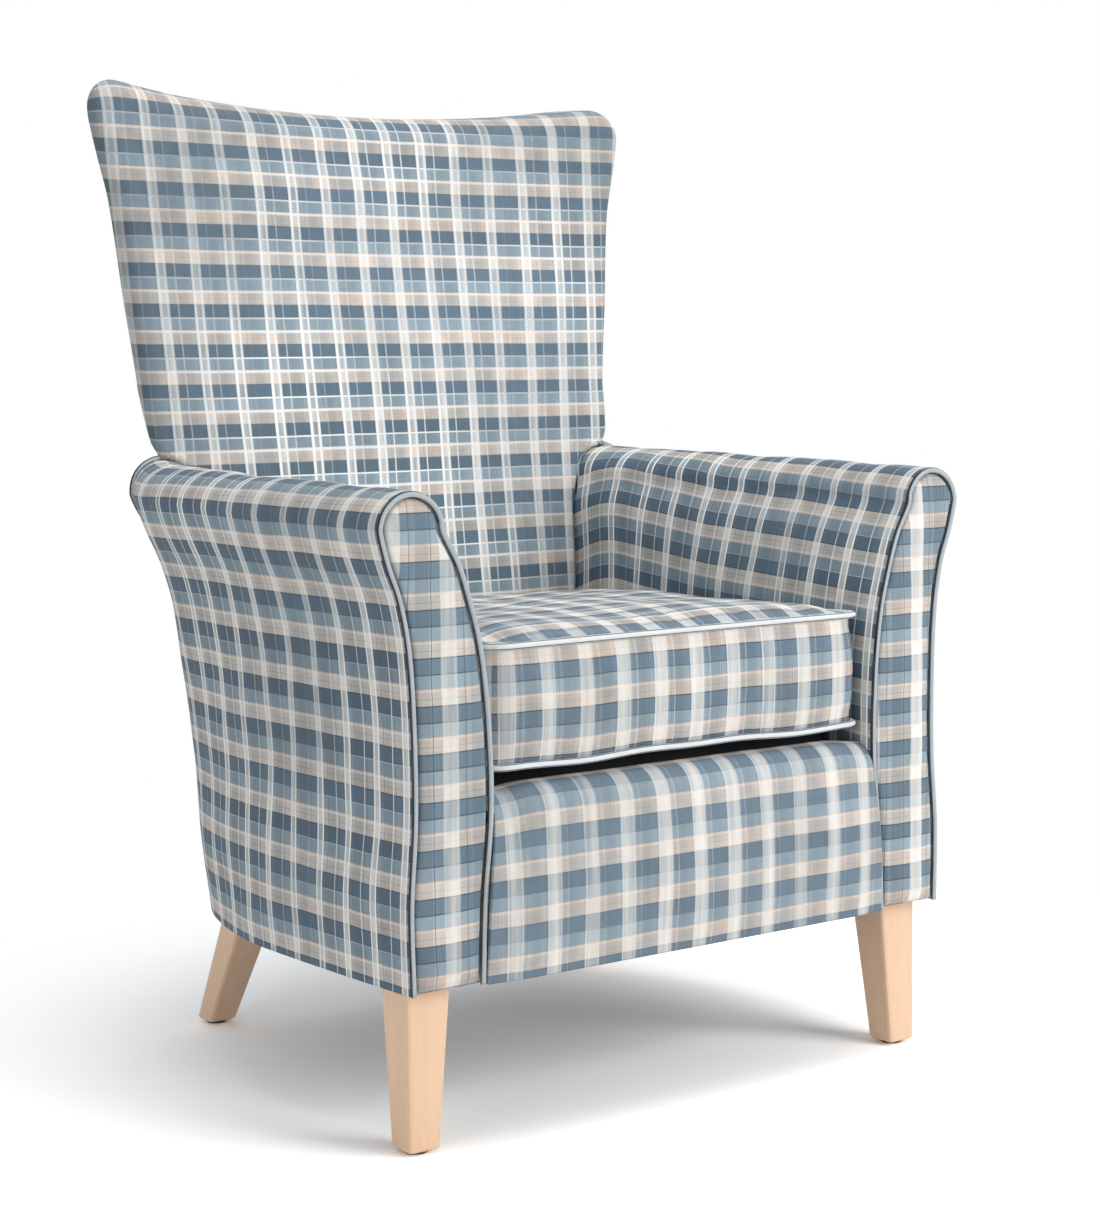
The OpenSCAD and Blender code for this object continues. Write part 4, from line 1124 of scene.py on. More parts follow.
    def rear_tuck(self) -> bpy.types.Object:
        """The folded edge of the cover: a roll up the arm's outer rear edge, then over its top
        in front of the back. Its share of the arm's length eases from one place to the other,
        and it stands out of the arm most at the top."""
        shares = np.linspace(self.tuck_top, self.tuck_low, 40)
        sections = smooth_curve(self.form.arm_sections(shares, last_rung=2), self.tuck_points)
        peak = int(np.argmax(sections[:, 0, 1]))
        sections = sections[:peak + self.tuck_end]
        order = np.arange(len(sections))
        past = order - peak
        wanted = (1 - ease(*self.tuck_shift, past)) * (len(shares) - 1)
        low = np.minimum(wanted.astype(int), len(shares) - 2)
        part = (wanted - low)[:, None]
        path = sections[order, low] * (1 - part) + sections[order, low + 1] * part
        out = self.tuck_out * ease(*self.tuck_rise, past) * (1 - ease(*self.tuck_fall, past))
        path = path - (out - self.tuck_sunk)[:, None] * sideways(path)
        share = shares[0] + (shares[-1] - shares[0]) * wanted / (len(shares) - 1)
        depth = self.form.arm_depth(share, path[:, 1])
        return self.cord("arm_tuck", in_space(path[:, 0], depth, path[:, 1]), self.tuck_r)


@dataclass
class Back:
    """The high back: the inside back that rolls over its own edge, and the outside back."""

    form: Form
    cloth: bpy.types.Material
    rows: int = 150
    columns: int = 130
    # Share of the rows beside the arm, share of the arm's length where the face meets it, the step
    # up from the arm's peak to the flare, and the rise of the edge's direction at its foot
    beside_arm: float = 0.40
    front_share: float = 0.9
    step_up: float = 0.0004
    foot_turn: float = 0.6
    # The edge's radius becomes the roll's over the top, between two depths below the ears, and
    # not at the ears, between two shares of the way to them. It is least at the arm's peak
    over_top: tuple[float, float] = (0.075, 0.03)
    over_half: tuple[float, float] = (0.72, 1.0)
    corner_r: float = 0.009
    corner_growth: float = 0.20
    least_rise: float = 0.0004
    edge_bands: int = 14
    wall_bands: int = 9
    # How far the wall and the face are drawn in. The face's rumples begin over soft_edge
    hollow: float = 0.0012
    soft_edge: float = 0.07
    waves: Waves = ((0.0022, 2.1, 0.9, 0.15), (0.0016, -1.3, 3.1, 0.5), (0.0010, 5.2, 1.4, 0.3))
    sunk: float = 0.003
    wall: float = 0.004
    # Rows before and after the arm's peak between which the face's edge turns outwards over it
    turn_rows: tuple[int, int] = (4, 26)
    turn_power: int = 8
    # The cloth of the back is this share wider at this height above the seat
    fan: float = 0.10
    fan_height: float = 0.73
    # Points of the outside back's edge: along the arm, above it, and over half of its top
    rear_points: tuple[int, int, int] = (80, 90, 50)
    # How far the outside back turns in at its edge, and over what length
    turn_in: float = 0.0006
    turn_in_edge: float = 0.006

    @staticmethod
    def blurred(normal: np.ndarray, reach: int = 3) -> np.ndarray:
        """Unit vectors averaged with those of the points within reach on either side, so that an
        edge moved along them doesn't fold where it turns."""
        padded = np.pad(normal, ((reach, reach), (0, 0)), mode="edge")
        mean = sum(padded[k:k + len(normal)] for k in range(2 * reach + 1))
        return mean / np.linalg.norm(mean, axis=1, keepdims=True)

    @staticmethod
    def by_height(curve: np.ndarray, count: int, fine_count: int = 1200, level: float = 0.2) -> np.ndarray:
        """Points on a smooth curve, spread by its rise plus a share of its travel, so that a level
        stretch takes few of them."""
        fine = smooth_curve(curve, fine_count)
        pace = np.abs(np.diff(fine[:, 1])) + level * np.linalg.norm(np.diff(fine, axis=0), axis=1)
        walked = np.concatenate([[0], np.cumsum(pace)])
        wanted = np.linspace(0, walked[-1], count)
        return np.stack([np.interp(wanted, walked, fine[:, k]) for k in range(2)], axis=1)

    def outline(self, rear: bool) -> tuple[np.ndarray, int]:
        """The back's outline in X and Z, from the foot of the right side up, over the top and
        down the left.

        Args:
            rear: whether it is the one at the outside back, which is narrower above the arms.

        Returns:
            The outline, and how many of its points on each side lie along the arm.
        """
        f = self.form
        narrow = np.array([f.back_rear_half / f.back_top_half if rear else 1.0, 1.0])
        low = f.back_inside_arm(1.0 if rear else self.front_share)
        joint = low[-1:] + np.array([[0.0, self.step_up]])
        high = np.concatenate([joint, f.back_side() * narrow])
        along = int(round(self.rows * self.beside_arm))
        east = np.concatenate([self.by_height(low, along), self.by_height(high, self.rows - along)])
        half = smooth_curve(f.back_top() * narrow, self.columns // 2 + 1)
        top = np.concatenate([half[:-1], half[::-1] * FLIP])
        return np.concatenate([east, top[1:-1], east[::-1] * FLIP]), along

    def inside(self) -> bpy.types.Object:
        """The inside back: a face within the outline less the edge's radius, a quarter round
        edge, and a wall back to the outside back, which draws in with the depth."""
        f = self.form
        ring, along = self.outline(rear=False)
        ring_rear, _ = self.outline(rear=True)
        beside = np.zeros(len(ring), bool)
        beside[:along] = beside[-along:] = True
        normal = self.blurred(sideways(ring))
        normal[[0, -1], 1] = self.foot_turn
        corner = np.minimum(np.linalg.norm(ring - ring[along], axis=1),
                            np.linalg.norm(ring - ring[-1 - along], axis=1))
        centre = f.back_top_half - f.ear_r
        over = ease(f.ear_z - self.over_top[0], f.ear_z - self.over_top[1], ring[:, 1])
        over = over * (1 - ease(*self.over_half, np.abs(ring[:, 0]) / centre))
        radius = np.where(beside, f.side_r / 2, f.side_r) * (1 - over) + f.roll_r * over
        radius = np.minimum(radius, self.corner_r + self.corner_growth * corner)
        end = f.front_y(ring[:, 0], ring[:, 1]) + radius
        start = np.where(beside, f.arm_depth(self.front_share, ring[:, 1]), end)
        stop = f.arm_depth(1.0, ring[:, 1])

        def at_depth(deep: np.ndarray) -> np.ndarray:
            """The outline at the depth of each point."""
            share = (deep - start) / (stop - start)
            share = np.where(beside, share, np.maximum(share, 0))
            return ring + (ring_rear - ring) * share[:, None]

        # The face's edge has to rise all the way up, over the arm's peak too, or the face folds
        inset = (at_depth(f.front_y(ring[:, 0], ring[:, 1])) + radius[:, None] * normal)[:self.rows, 1]
        least = self.least_rise * np.arange(self.rows)
        lift = np.zeros(len(ring))
        lift[:self.rows] = np.maximum.accumulate(inset - least) + least - inset
        lift[-self.rows:] = lift[:self.rows][::-1]

        bands = []
        for turn in np.radians(np.linspace(90, 0, self.edge_bands)):
            d, e = radius * (1 - math.cos(turn)), radius * (1 - math.sin(turn))
            spot = at_depth(f.front_y(ring[:, 0], ring[:, 1]) + e) + d[:, None] * normal
            spot[:, 1] += lift * (1 - math.cos(turn))
            bands.append(in_space(spot[:, 0], f.front_y(spot[:, 0], spot[:, 1]) + e, spot[:, 1]))
        edge_on = bands[-1]
        spot = at_depth(f.rear_y(ring[:, 1]) - f.rear_skin)
        rim = in_space(spot[:, 0], f.rear_y(spot[:, 1]) - f.rear_skin, spot[:, 1])
        calm = self.hollow * np.where(beside, 0.0, 1.0)
        for share in np.linspace(0, 1, self.wall_bands)[1:]:
            row = edge_on + (rim - edge_on) * share
            row[:, [0, 2]] -= normal * (calm * math.sin(math.pi * share))[:, None]
            bands.append(row)
        band = np.stack(bands)
        walk = travelled(band)
        slant = math.cos(math.atan(f.lean))
        place = in_plane(band[0, :, 0], (band[0, :, 2] - f.deck_z) / slant)
        outwards = normal / np.linalg.norm(normal, axis=1, keepdims=True)
        cloth = place[None] - walk[..., None] * outwards[None]
        inner = band[0][:, [0, 2]].copy()
        east, west = inner[:self.rows], inner[-self.rows:][::-1]
        north = np.concatenate([west[-1:], inner[self.rows:-self.rows][::-1], east[-1:]])
        south = np.linspace(west[0], east[0], len(north))
        flat = self.spread(south, north, west, east, along)
        x, z = flat[..., 0], flat[..., 1]
        soft = ease(0.0, self.soft_edge, distance_to(flat, inner))
        face = in_space(x, f.front_y(x, z) + soft * (ripple(x, z, self.waves) - self.sunk), z)
        piece = Workshop.sew("inside_back", [
            Panel(f.settle(face), self.fanned(in_plane(x, (z - f.deck_z) / slant))),
            Panel(f.settle(band), self.fanned(cloth), outward=False),
        ])
        Workshop.thicken(piece, self.wall)
        dress(piece, self.cloth, Body.CHAIR)
        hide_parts("inside_back_cover", "back_foam")
        return piece

    def spread(self, south: np.ndarray, north: np.ndarray, west: np.ndarray, east: np.ndarray,
               along: int) -> np.ndarray:
        """The patch inside the edges. Where they turn outwards over an arm, the patch is made
        with a straight line across the turn, and what the edge differs by from it is added back
        with a high power of the nearness to that side, so that no row crosses the next.

        Args:
            south, north, west, east: the edges, as patch takes them.
            along: number of the edge's point at the arm's peak.

        Returns:
            Grid of plane points.
        """
        start, stop = along - self.turn_rows[0], along + self.turn_rows[1]
        share = np.clip((np.arange(len(east)) - start) / (stop - start), 0, 1)[:, None]
        across = np.arange(len(east))[:, None]
        inside = (across > start) & (across < stop)
        plain = [np.where(inside, e[start] + (e[stop] - e[start]) * share, e) for e in (west, east)]
        u = np.linspace(0, 1, len(south))[None, :, None]
        near_west, near_east = (1 - u) ** self.turn_power, u**self.turn_power
        return (patch(south, north, *plain) + (west - plain[0])[:, None] * near_west
                + (east - plain[1])[:, None] * near_east)

    def fanned(self, cloth: np.ndarray) -> np.ndarray:
        """The cloth pulled wider toward the top, so that its warp stripes fan out."""
        wider = 1 + self.fan * np.clip(cloth[..., 1] / self.fan_height, 0, 1)
        return in_plane(cloth[..., 0] / wider, cloth[..., 1])

    def outside(self) -> bpy.types.Object:
        """The outside back at the rear plane: up the arms' outer edges and over them to their
        peaks, then up the narrower outline. It is drawn taut, and turns in at its edges."""
        f = self.form
        section = smooth_curve(f.arm_sections(np.array([1.0]))[:, 0], f.section_points)
        outer = section[:int(np.argmax(section[:, 1])) + 1]
        narrow = np.array([f.back_rear_half / f.back_top_half, 1.0])
        beside, above, over = self.rear_points
        flare = self.by_height(f.back_side() * narrow, above)
        east = np.concatenate([self.by_height(outer, beside), flare])
        half = smooth_curve(f.back_top() * narrow, over)
        north = np.concatenate([half[:-1], half[::-1] * FLIP])[::-1]
        west = east * FLIP
        north[0], north[-1] = west[-1], east[-1]
        south = np.linspace(west[0], east[0], len(north))
        flat = patch(south, north, west, east)
        x, z = flat[..., 0], flat[..., 1]
        gap = distance_to(flat, np.concatenate([west, north, east, south]))
        points = in_space(x, f.rear_y(z) - self.turn_in * (1 - ease(0, self.turn_in_edge, gap)), z)
        cloth = in_plane(-x, (z - f.base_z) / math.cos(math.atan(f.rake)))
        piece = Workshop.sew("outside_back", [Panel(f.settle(points), cloth, outward=False)])
        Workshop.thicken(piece, f.cloth_t)
        dress(piece, self.cloth, Body.CHAIR)
        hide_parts("outside_back_cover")
        return piece


@dataclass
class Seat:
    """What lies under the cushion: the front border, the platform and the dust cover."""

    form: Form
    cloth: bpy.types.Material
    black: bpy.types.Material
    drop: float = 0.016
    roll: float = 0.026
    bulge: float = 0.004
    tuck_end: float = 0.0604
    # Degrees round the crest where the roll starts, and between its points
    roll_from: float = 50.0
    roll_step: float = 26.0
    face_points: int = 7
    section_points: int = 90
    across_points: int = 121
    # Toward its ends the border falls and moves back, from this share of the half width on
    end_share: float = 0.80
    end_high: float = 0.12
    end_fall: float = 0.005
    end_back: float = 0.004
    calm_edge: float = 0.03
    waves: Waves = ((0.0008, 4.0, 2.0, 0.3), (0.0006, 9.0, 5.0, 0.8))
    wall: float = 0.006
    # The platform: how far its top falls toward the edges, and the lengths over which it falls
    # and turns down
    pad_points: int = 70
    pad_sag: float = 0.003
    pad_slope: float = 0.2
    pad_edge: float = 0.012
    # Openings for the legs: nearest and farthest X, then nearest and farthest depth
    leg_holes: tuple[tuple[float, float, float, float], ...] = (
        (0.2893, 0.3410, 0.0225, 0.0745), (0.2222, 0.2698, 0.4732, 0.5208))
    sheet_grid: tuple[int, int] = (40, 60)
    # The dust sheet: how far it stays within the arms' outsides and above their hem, its sag, and
    # the half width over which it sags
    sheet_hem: float = 0.0101
    sheet_rise: float = 0.0012
    sheet_sag: float = 0.0008
    sheet_half: float = 0.34
    sheet_t: float = 0.0008

    def inner_edge(self, z: np.ndarray) -> np.ndarray:
        """Half width between the arms at the facings, at a height."""
        t = np.clip((z - self.form.base_z) / self.form.spring_line, 0, 1)
        table = self.form.arm_table
        return self.form.seat_half + self.form.arm_w * smooth_table(t, table[:, 0], table[:, 1])

    def border(self) -> bpy.types.Object:
        """The front border: a tail behind a rolled crest, and a face that bulges down to the
        hem, drawn across the seat. Its crest and bulge die away by some millimetres at the ends."""
        f = self.form
        y0 = -self.bulge / 2
        crest = f.deck_z - self.drop
        angle = np.radians(np.arange(self.roll_from, 181, self.roll_step))
        roll = in_plane(y0 + self.roll + self.roll * np.cos(angle),
                        crest - self.roll + self.roll * np.sin(angle))
        share = np.linspace(0, 1, self.face_points + 1)[1:]
        face = in_plane(y0 - self.bulge * np.sin(math.pi * share),
                        crest - self.roll + (f.base_z - crest + self.roll) * share)
        tail = np.array([[self.tuck_end, crest - self.roll / 2]])
        section = smooth_curve(np.concatenate([tail, roll, face]), self.section_points)
        u = np.sin(np.linspace(-math.pi / 2, math.pi / 2, self.across_points))
        across, _ = lattice(u, section[:, 0])
        end = ease(self.end_share, 1.0, np.abs(across))
        high = ease(f.deck_z - self.end_high, f.deck_z, section[:, 1])[None]
        z = section[None, :, 1] - self.end_fall * end * high
        forward = 1 - ease(0, self.calm_edge, section[None, :, 0])
        y = section[None, :, 0] + self.end_back * end * forward
        x = across * (self.inner_edge(z) - 2 * f.fit)
        up = np.broadcast_to(-travelled(section)[None], x.shape)
        calm = ease(0.0, self.calm_edge, z - f.base_z) * (1 - end)
        points = in_space(x, y + calm * ripple(x, z, self.waves), z)
        piece = Workshop.sew("front_border", [Panel(f.settle(points), in_plane(x, up), outward=False)])
        Workshop.thicken(piece, self.wall)
        dress(piece, self.cloth, Body.CHAIR)
        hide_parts("front_border_cover", "front_border_foam")
        return piece

    def platform(self) -> bpy.types.Object:
        """The black platform: a flat pad whose top rises to its middle and turns down at its
        edges, by half a sine of the distance from them."""
        low, high = node_box("platform_cloth")
        gx, gy = lattice(*(to_edges(low[k], high[k], self.pad_points) for k in range(2)))
        gap = np.minimum.reduce([gx - low[0], high[0] - gx, gy - low[1], high[1] - gy])
        sag = self.pad_sag * (1 - ease(0.0, self.pad_slope, gap))
        z = low[2] + (high[2] - low[2] - sag) * np.sin(np.clip(gap / self.pad_edge, 0, 1) * math.pi / 2)
        cloth = in_plane(gx, gy)
        top = Panel(in_space(gx, gy, z), cloth, outward=False)
        under = Panel(in_space(gx, gy, np.full_like(z, low[2])), cloth)
        piece = Workshop.sew("platform", [top, under])
        dress(piece, self.black, Body.CHAIR)
        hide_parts("platform_cloth", "platform_pad")
        return piece

    def dust_sheet(self) -> bpy.types.Object:
        """The thin cloth under the frame: a flat sheet with openings at the legs, which sags by
        under a millimetre in its middle."""
        f = self.form
        low, high = node_box("dust_cover")
        holes = [(x0, x1, f.at(y0), f.at(y1)) for x0, x1, y0, y1 in self.leg_holes]
        right = [np.linspace(0, high[0], self.sheet_grid[0])] + [hole[:2] for hole in holes]
        back = [np.linspace(low[1], high[1], self.sheet_grid[1])] + [hole[2:] for hole in holes]
        x, y = np.unique(np.concatenate(right)), np.unique(np.concatenate(back))
        x = np.concatenate([-x[:0:-1], x])
        gx, gy = lattice(x, y)
        share = np.clip((gy - f.at(0)) / f.base_d, 0, 1)
        drift = smooth_table(share, f.low_drift[:, 0], f.low_drift[:, 1])
        half = f.seat_half + f.arm_w * (f.arm_table[0, 2] + drift) - self.sheet_hem
        gx = np.clip(gx, -half, half)
        across = np.cos(np.clip(gx / self.sheet_half, -1, 1) * math.pi / 2)
        sag = self.sheet_sag * across * np.sin(share * math.pi)
        points = in_space(gx, gy, np.full_like(gx, f.base_z + self.sheet_rise) - sag)
        mx, my = lattice(np.abs((x[:-1] + x[1:]) / 2), (y[:-1] + y[1:]) / 2)
        drop = np.zeros(mx.shape, bool)
        for x0, x1, y0, y1 in holes:
            drop |= (mx > x0) & (mx < x1) & (my > y0) & (my < y1)
        panel = Panel(points, points[..., :2], outward=False)
        piece = Workshop.sew("dust_sheet", [panel], drop=drop.ravel())
        Workshop.thicken(piece, self.sheet_t)
        dress(piece, self.black, Body.CHAIR)
        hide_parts("dust_cover")
        return piece


@dataclass
class Cushion:
    """The loose box cushion, swollen by a simulation, with piping along both its seams."""

    form: Form
    cloth: bpy.types.Material
    piping: bpy.types.Material
    half_w: float = 0.245
    front: float = 0.013
    gap: float = 0.009
    low: float = 0.3773
    thick: float = 0.120
    crown: float = 0.018
    belly: float = 0.0055
    draw: float = 0.005
    corner: float = 0.024
    swell: float = 0.0035
    fall: float = 0.016
    pipe_r: float = 0.0035
    nx: int = 62
    ny: int = 64
    nz: int = 16
    # Points of a corner's half and of a straight side, before they are spread evenly
    arc_points: int = 6
    side_points: int = 11
    dome_power: int = 7
    rumples: Waves = (
        (0.0024, 2.6, 1.2, 0.1), (0.0020, -1.9, 3.3, 0.55), (0.0015, 4.6, 2.2, 0.8),
        (0.0008, 3.0, 8.5, 0.3))
    seam_waves: Waves = ((0.0011, 3.4, 2.0, 0.2), (0.0008, 7.1, 5.0, 0.6))
    seam_sag: float = 0.0008
    # How near the plan's edge a point lies to be on a seam, or on the border's wall
    seam_near: float = 0.0008
    wall_near: float = 0.012
    # Heights as shares of the thickness: the seams lie beyond the first pair, the wall within the
    # second, and the underside below the third
    seam_high: tuple[float, float] = (0.03, 0.985)
    wall_high: tuple[float, float] = (0.05, 0.97)
    under_high: float = 0.05
    # How far the simulation may move the top, the underside, the wall and the wall at the zip
    top_reach: float = 0.003
    under_reach: float = 0.0012
    wall_reach: float = 0.0035
    zip_reach: float = 0.0006
    zip_depth: float = 0.02

    @property
    def rear(self) -> float:
        """Depth of the cushion's rear seam."""
        seat = self.form.rear_y(self.form.deck_z) - self.form.back_t
        return seat - self.gap

    def let_down(self, points: np.ndarray) -> np.ndarray:
        """Lowers points toward the rear, in step with their height, and lets the underside's seam
        sag in waves toward the front."""
        share = (points[..., 1] - self.front) / (self.rear - self.front)
        high = (points[..., 2] - self.low) / self.thick
        wavy = ripple(points[..., 0], points[..., 1], self.seam_waves)
        drop = self.fall * high * share + (1 - high) * (self.seam_sag - wavy * (1 - share))
        return points - in_space(0 * drop, 0 * drop, drop)

    def edges(self, out: float = 0.0) -> dict[str, np.ndarray]:
        """Plan of the cushion: straight sides with round corners, drawn in between the corners
        by a parabola.

        Args:
            out: how far the plan is moved outwards.

        Returns:
            Its four edges, which meet in the middles of the corners, as X and depth.
        """
        middle = (self.front + self.rear) / 2
        half = np.array([self.half_w + out, (self.rear - self.front) / 2 + out])
        r = self.corner + out
        turn = np.radians(np.linspace(45, 0, self.arc_points))
        sides = []
        # The east side is square to X and the north side to Y: k is the number of that axis
        for k, angle in enumerate((turn, turn[::-1] + math.pi / 4)):
            arc = half - r + r * in_plane(np.cos(angle), np.sin(angle))
            way = np.linspace(half[1 - k] - r, r - half[1 - k], self.side_points)[1:-1]
            level = np.full(len(way), half[k])
            straight = in_plane(way, level) if k else in_plane(level, way)
            sides.append(np.concatenate([arc, straight, arc[::-1] * (FLIP if k else -FLIP)])[::-1])
        east, north = smooth_curve(sides[0], self.ny), smooth_curve(sides[1], self.nx)
        edges = {"east": east, "north": north, "west": east * FLIP, "south": north * -FLIP}
        for name, line in edges.items():
            x, y = line[:, 0] / half[0], line[:, 1] / half[1]
            pulled = in_plane(line[:, 0] * (1 - self.draw / half[0] * (1 - y**2)),
                              line[:, 1] * (1 - self.draw / half[1] * (1 - x**2)))
            edges[name] = pulled + np.array([0, middle])
        return edges

    def ring(self, edges: dict[str, np.ndarray]) -> np.ndarray:
        """The plan as one closed loop, counter-clockwise from the front left corner."""
        return np.concatenate([
            edges["south"][:-1], edges["east"][:-1], edges["north"][::-1][:-1], edges["west"][::-1][:-1]])

    def body(self, build: Build) -> bpy.types.Object:
        """The cushion itself: a top that rises with the product of two steep curves, a border that
        swells by a half sine, and a flatter underside, then the simulation."""
        f = self.form
        edges = self.edges()
        plan = patch(edges["south"], edges["north"], edges["west"], edges["east"])
        u, v = lattice(np.linspace(-1, 1, self.ny), np.linspace(-1, 1, self.nx))
        dome = (1 - np.abs(u) ** self.dome_power) * (1 - np.abs(v) ** self.dome_power)
        high = self.low + self.thick
        x, y = plan[..., 0], plan[..., 1]
        top = in_space(x, y, high + self.crown * dome + ripple(x, y, self.rumples) * dome)
        base = in_space(x, y, self.low - self.belly * dome)
        ring = self.ring(edges)
        out = -sideways(ring, closed=True)
        ring, out = (np.concatenate([row, row[:1]]) for row in (ring, out))
        share = np.linspace(0, 1, self.nz)
        swell = self.swell * np.sin(math.pi * share)
        spread = ring[None] + swell[:, None, None] * out[None]
        level = np.broadcast_to((self.low + self.thick * share)[:, None], spread.shape[:2])
        wall = np.concatenate([spread, level[..., None]], axis=-1)
        around = travelled(ring) + edges["south"][0, 0]
        wall_cloth = in_plane(*np.broadcast_arrays(around[None], (self.thick * (share - 1))[:, None]))
        face_cloth = in_plane(x, y - self.front)
        piece = Workshop.sew("cushion_body", [
            Panel(f.settle(self.let_down(points)), cloth, outward)
            for points, cloth, outward in (
                (top, face_cloth, True), (base, face_cloth, False), (wall, wall_cloth, True))
        ])
        if build is Build.FULL:
            self.stuff(piece)
        Workshop.refine(piece)
        dress(piece, self.cloth, Body.CUSHION)
        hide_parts("cushion_foam", "cushion_top", "cushion_bottom", "cushion_border")
        return piece

    def stuff(self, piece: bpy.types.Object) -> None:
        """Runs the simulation: the seams hold, the underside and the zip's tape stay flat."""
        mesh = piece.data
        spots = np.empty(3 * len(mesh.vertices))
        mesh.vertices.foreach_get("co", spots)
        spots = spots.reshape(-1, 3)
        ring = self.form.settle(np.pad(self.ring(self.edges()), ((0, 0), (0, 1))))
        near = distance_to(spots[:, :2], ring[:, :2])
        front, rear = self.form.at(self.front), self.form.at(self.rear)
        share = (spots[:, 1] - front) / (rear - front)
        high = (spots[:, 2] - self.low) / (self.thick - self.fall * share)
        on_seam = (near < self.seam_near) & ((high > self.seam_high[1]) | (high < self.seam_high[0]))
        wall = (near < self.wall_near) & (high > self.wall_high[0]) & (high < self.wall_high[1])
        reach = np.full(len(spots), self.top_reach)
        reach[(high < self.under_high) & ~wall] = self.under_reach
        reach[wall] = self.wall_reach
        reach[wall & (spots[:, 1] > rear - self.zip_depth)] = self.zip_reach
        Workshop.inflate(piece, on_seam.astype(float), reach)

    def cord(self, name: str, level: float) -> bpy.types.Object:
        """Piping along one seam, just outside the plan."""
        ring = self.ring(self.edges(self.pipe_r + self.form.fit))
        path = np.concatenate([ring, np.full((len(ring), 1), level)], axis=1)
        path = self.form.settle(self.let_down(path))
        piece = Workshop.tube(f"cushion_cord_{name}", path, self.pipe_r, True)
        dress(piece, self.piping, Body.CUSHION)
        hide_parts(f"cushion_piping_{name}")
        return piece


@dataclass
class Skeleton:
    """The CAD nodes that stay as they are: legs, glides, frame, springs and fastenings."""

    stuffs: dict[str, tuple[str, ...]] = field(default_factory=lambda: {
        "leg_wood": ("front_leg_left", "front_leg_right", "rear_leg_left", "rear_leg_right", "rail_dowels"),
        "glide_plastic": ("leg_glides",),
        "fastener_steel": ("leg_bolts", "leg_nuts"),
        "clip_plastic": ("spring_clips",),
        "spring_steel": ("seat_springs",),
        "frame_wood": (
            "leg_blocks", "seat_front_rail", "seat_back_rail", "seat_side_rails",
            *(f"{part}_{side}" for part in
              ("arm_post", "arm_rear_post", "arm_top_rail", "arm_tack_rail", "back_upright")
              for side in ("left", "right")),
            "crest_rail", "lumbar_rail"),
        "zip_tape": ("cushion_zip",),
        "zip_metal": ("zip_slider",),
    })

    def finishes(self) -> dict[str, bpy.types.Material]:
        """One material for each stuff."""
        stuffs = [
            Timber("leg_wood", srgb(236, 199, 166), srgb(219, 176, 140)),
            Speckled("glide_plastic", srgb(52, 52, 54), 900, 0.0001, 0.55),
            Speckled("fastener_steel", srgb(172, 174, 178), 420, 0.00005, 0.34, 1.0),
            Speckled("clip_plastic", srgb(44, 44, 46), 700, 0.0001, 0.5),
            Speckled("spring_steel", srgb(150, 150, 152), 500, 0.00006, 0.38, 1.0),
            Timber("frame_wood", srgb(222, 196, 158), srgb(190, 156, 116), rings=18.0, coat=0.0, rough=0.7),
            ZipTape(),
            Speckled("zip_metal", srgb(190, 190, 192), 600, 0.00005, 0.3, 1.0),
        ]
        return {stuff.name: stuff.material() for stuff in stuffs}

    def dress(self) -> int:
        """Gives each kept node its material, and returns how many were dressed."""
        finishes = self.finishes()
        for stuff, names in self.stuffs.items():
            for name in names:
                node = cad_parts[name]
                node.data.materials.clear()
                node.data.materials.append(finishes[stuff])
        return sum(len(names) for names in self.stuffs.values())


@dataclass
class Suspension:
    """The soft parts of the suspension: the cloth over the springs and the straps of the back."""

    form: Form
    felt: bpy.types.Material
    web: bpy.types.Material
    # Points of the sheet across and along, the room under its arch for its own thickness, and
    # the thickness of both cloths
    sheet_grid: tuple[int, int] = (40, 60)
    sheet_t: float = 0.0015
    wall: float = 0.001
    # The straps: points along and across, how far they end short of the back's half width, and
    # their place in their box
    strap_grid: tuple[int, int] = (40, 6)
    strap_end: float = 0.06
    strap_lift: float = 0.001
    strap_share: float = 0.97
    strap_deep: float = 0.0012
    strap_gap: float = 0.0004

    def spring_sheet(self) -> bpy.types.Object:
        """The cloth over the springs, which arches from front to rear with them."""
        low, high = node_box("spring_cover")
        gx, gy = lattice(*(np.linspace(low[k], high[k], self.sheet_grid[k]) for k in range(2)))
        share = (gy - low[1]) / (high[1] - low[1])
        z = high[2] - (high[2] - low[2] - self.sheet_t) * (2 * share - 1) ** 2
        points = in_space(gx, gy, z)
        piece = Workshop.sew("spring_sheet", [Panel(points, points[..., :2], outward=False)])
        Workshop.thicken(piece, self.wall)
        dress(piece, self.felt, Body.CHAIR)
        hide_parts("spring_cover")
        return piece

    def straps(self, count: int = 6, width: float = 0.050) -> bpy.types.Object:
        """The straps across the back frame, one above another on its slope, each a flat band."""
        low, high = node_box("back_webbing")
        panels = []
        rise = (high[2] - low[2] - width * math.cos(math.atan(self.form.rake))) / (count - 1)
        wide = self.form.back_low_half - self.strap_end
        along, up = self.strap_grid
        gx, share = lattice(np.linspace(-wide, wide, along), np.linspace(0, 1, up))
        for k in range(count):
            z = low[2] + self.strap_lift + k * rise + share * width * self.strap_share
            y = low[1] + self.strap_deep + (z - low[2]) * self.form.rake + self.strap_gap
            panels.append(Panel(in_space(gx, y, z), in_plane(gx, z)))
        piece = Workshop.sew("back_straps", panels)
        Workshop.thicken(piece, self.wall)
        dress(piece, self.web, Body.CHAIR)
        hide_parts("back_webbing")
        return piece


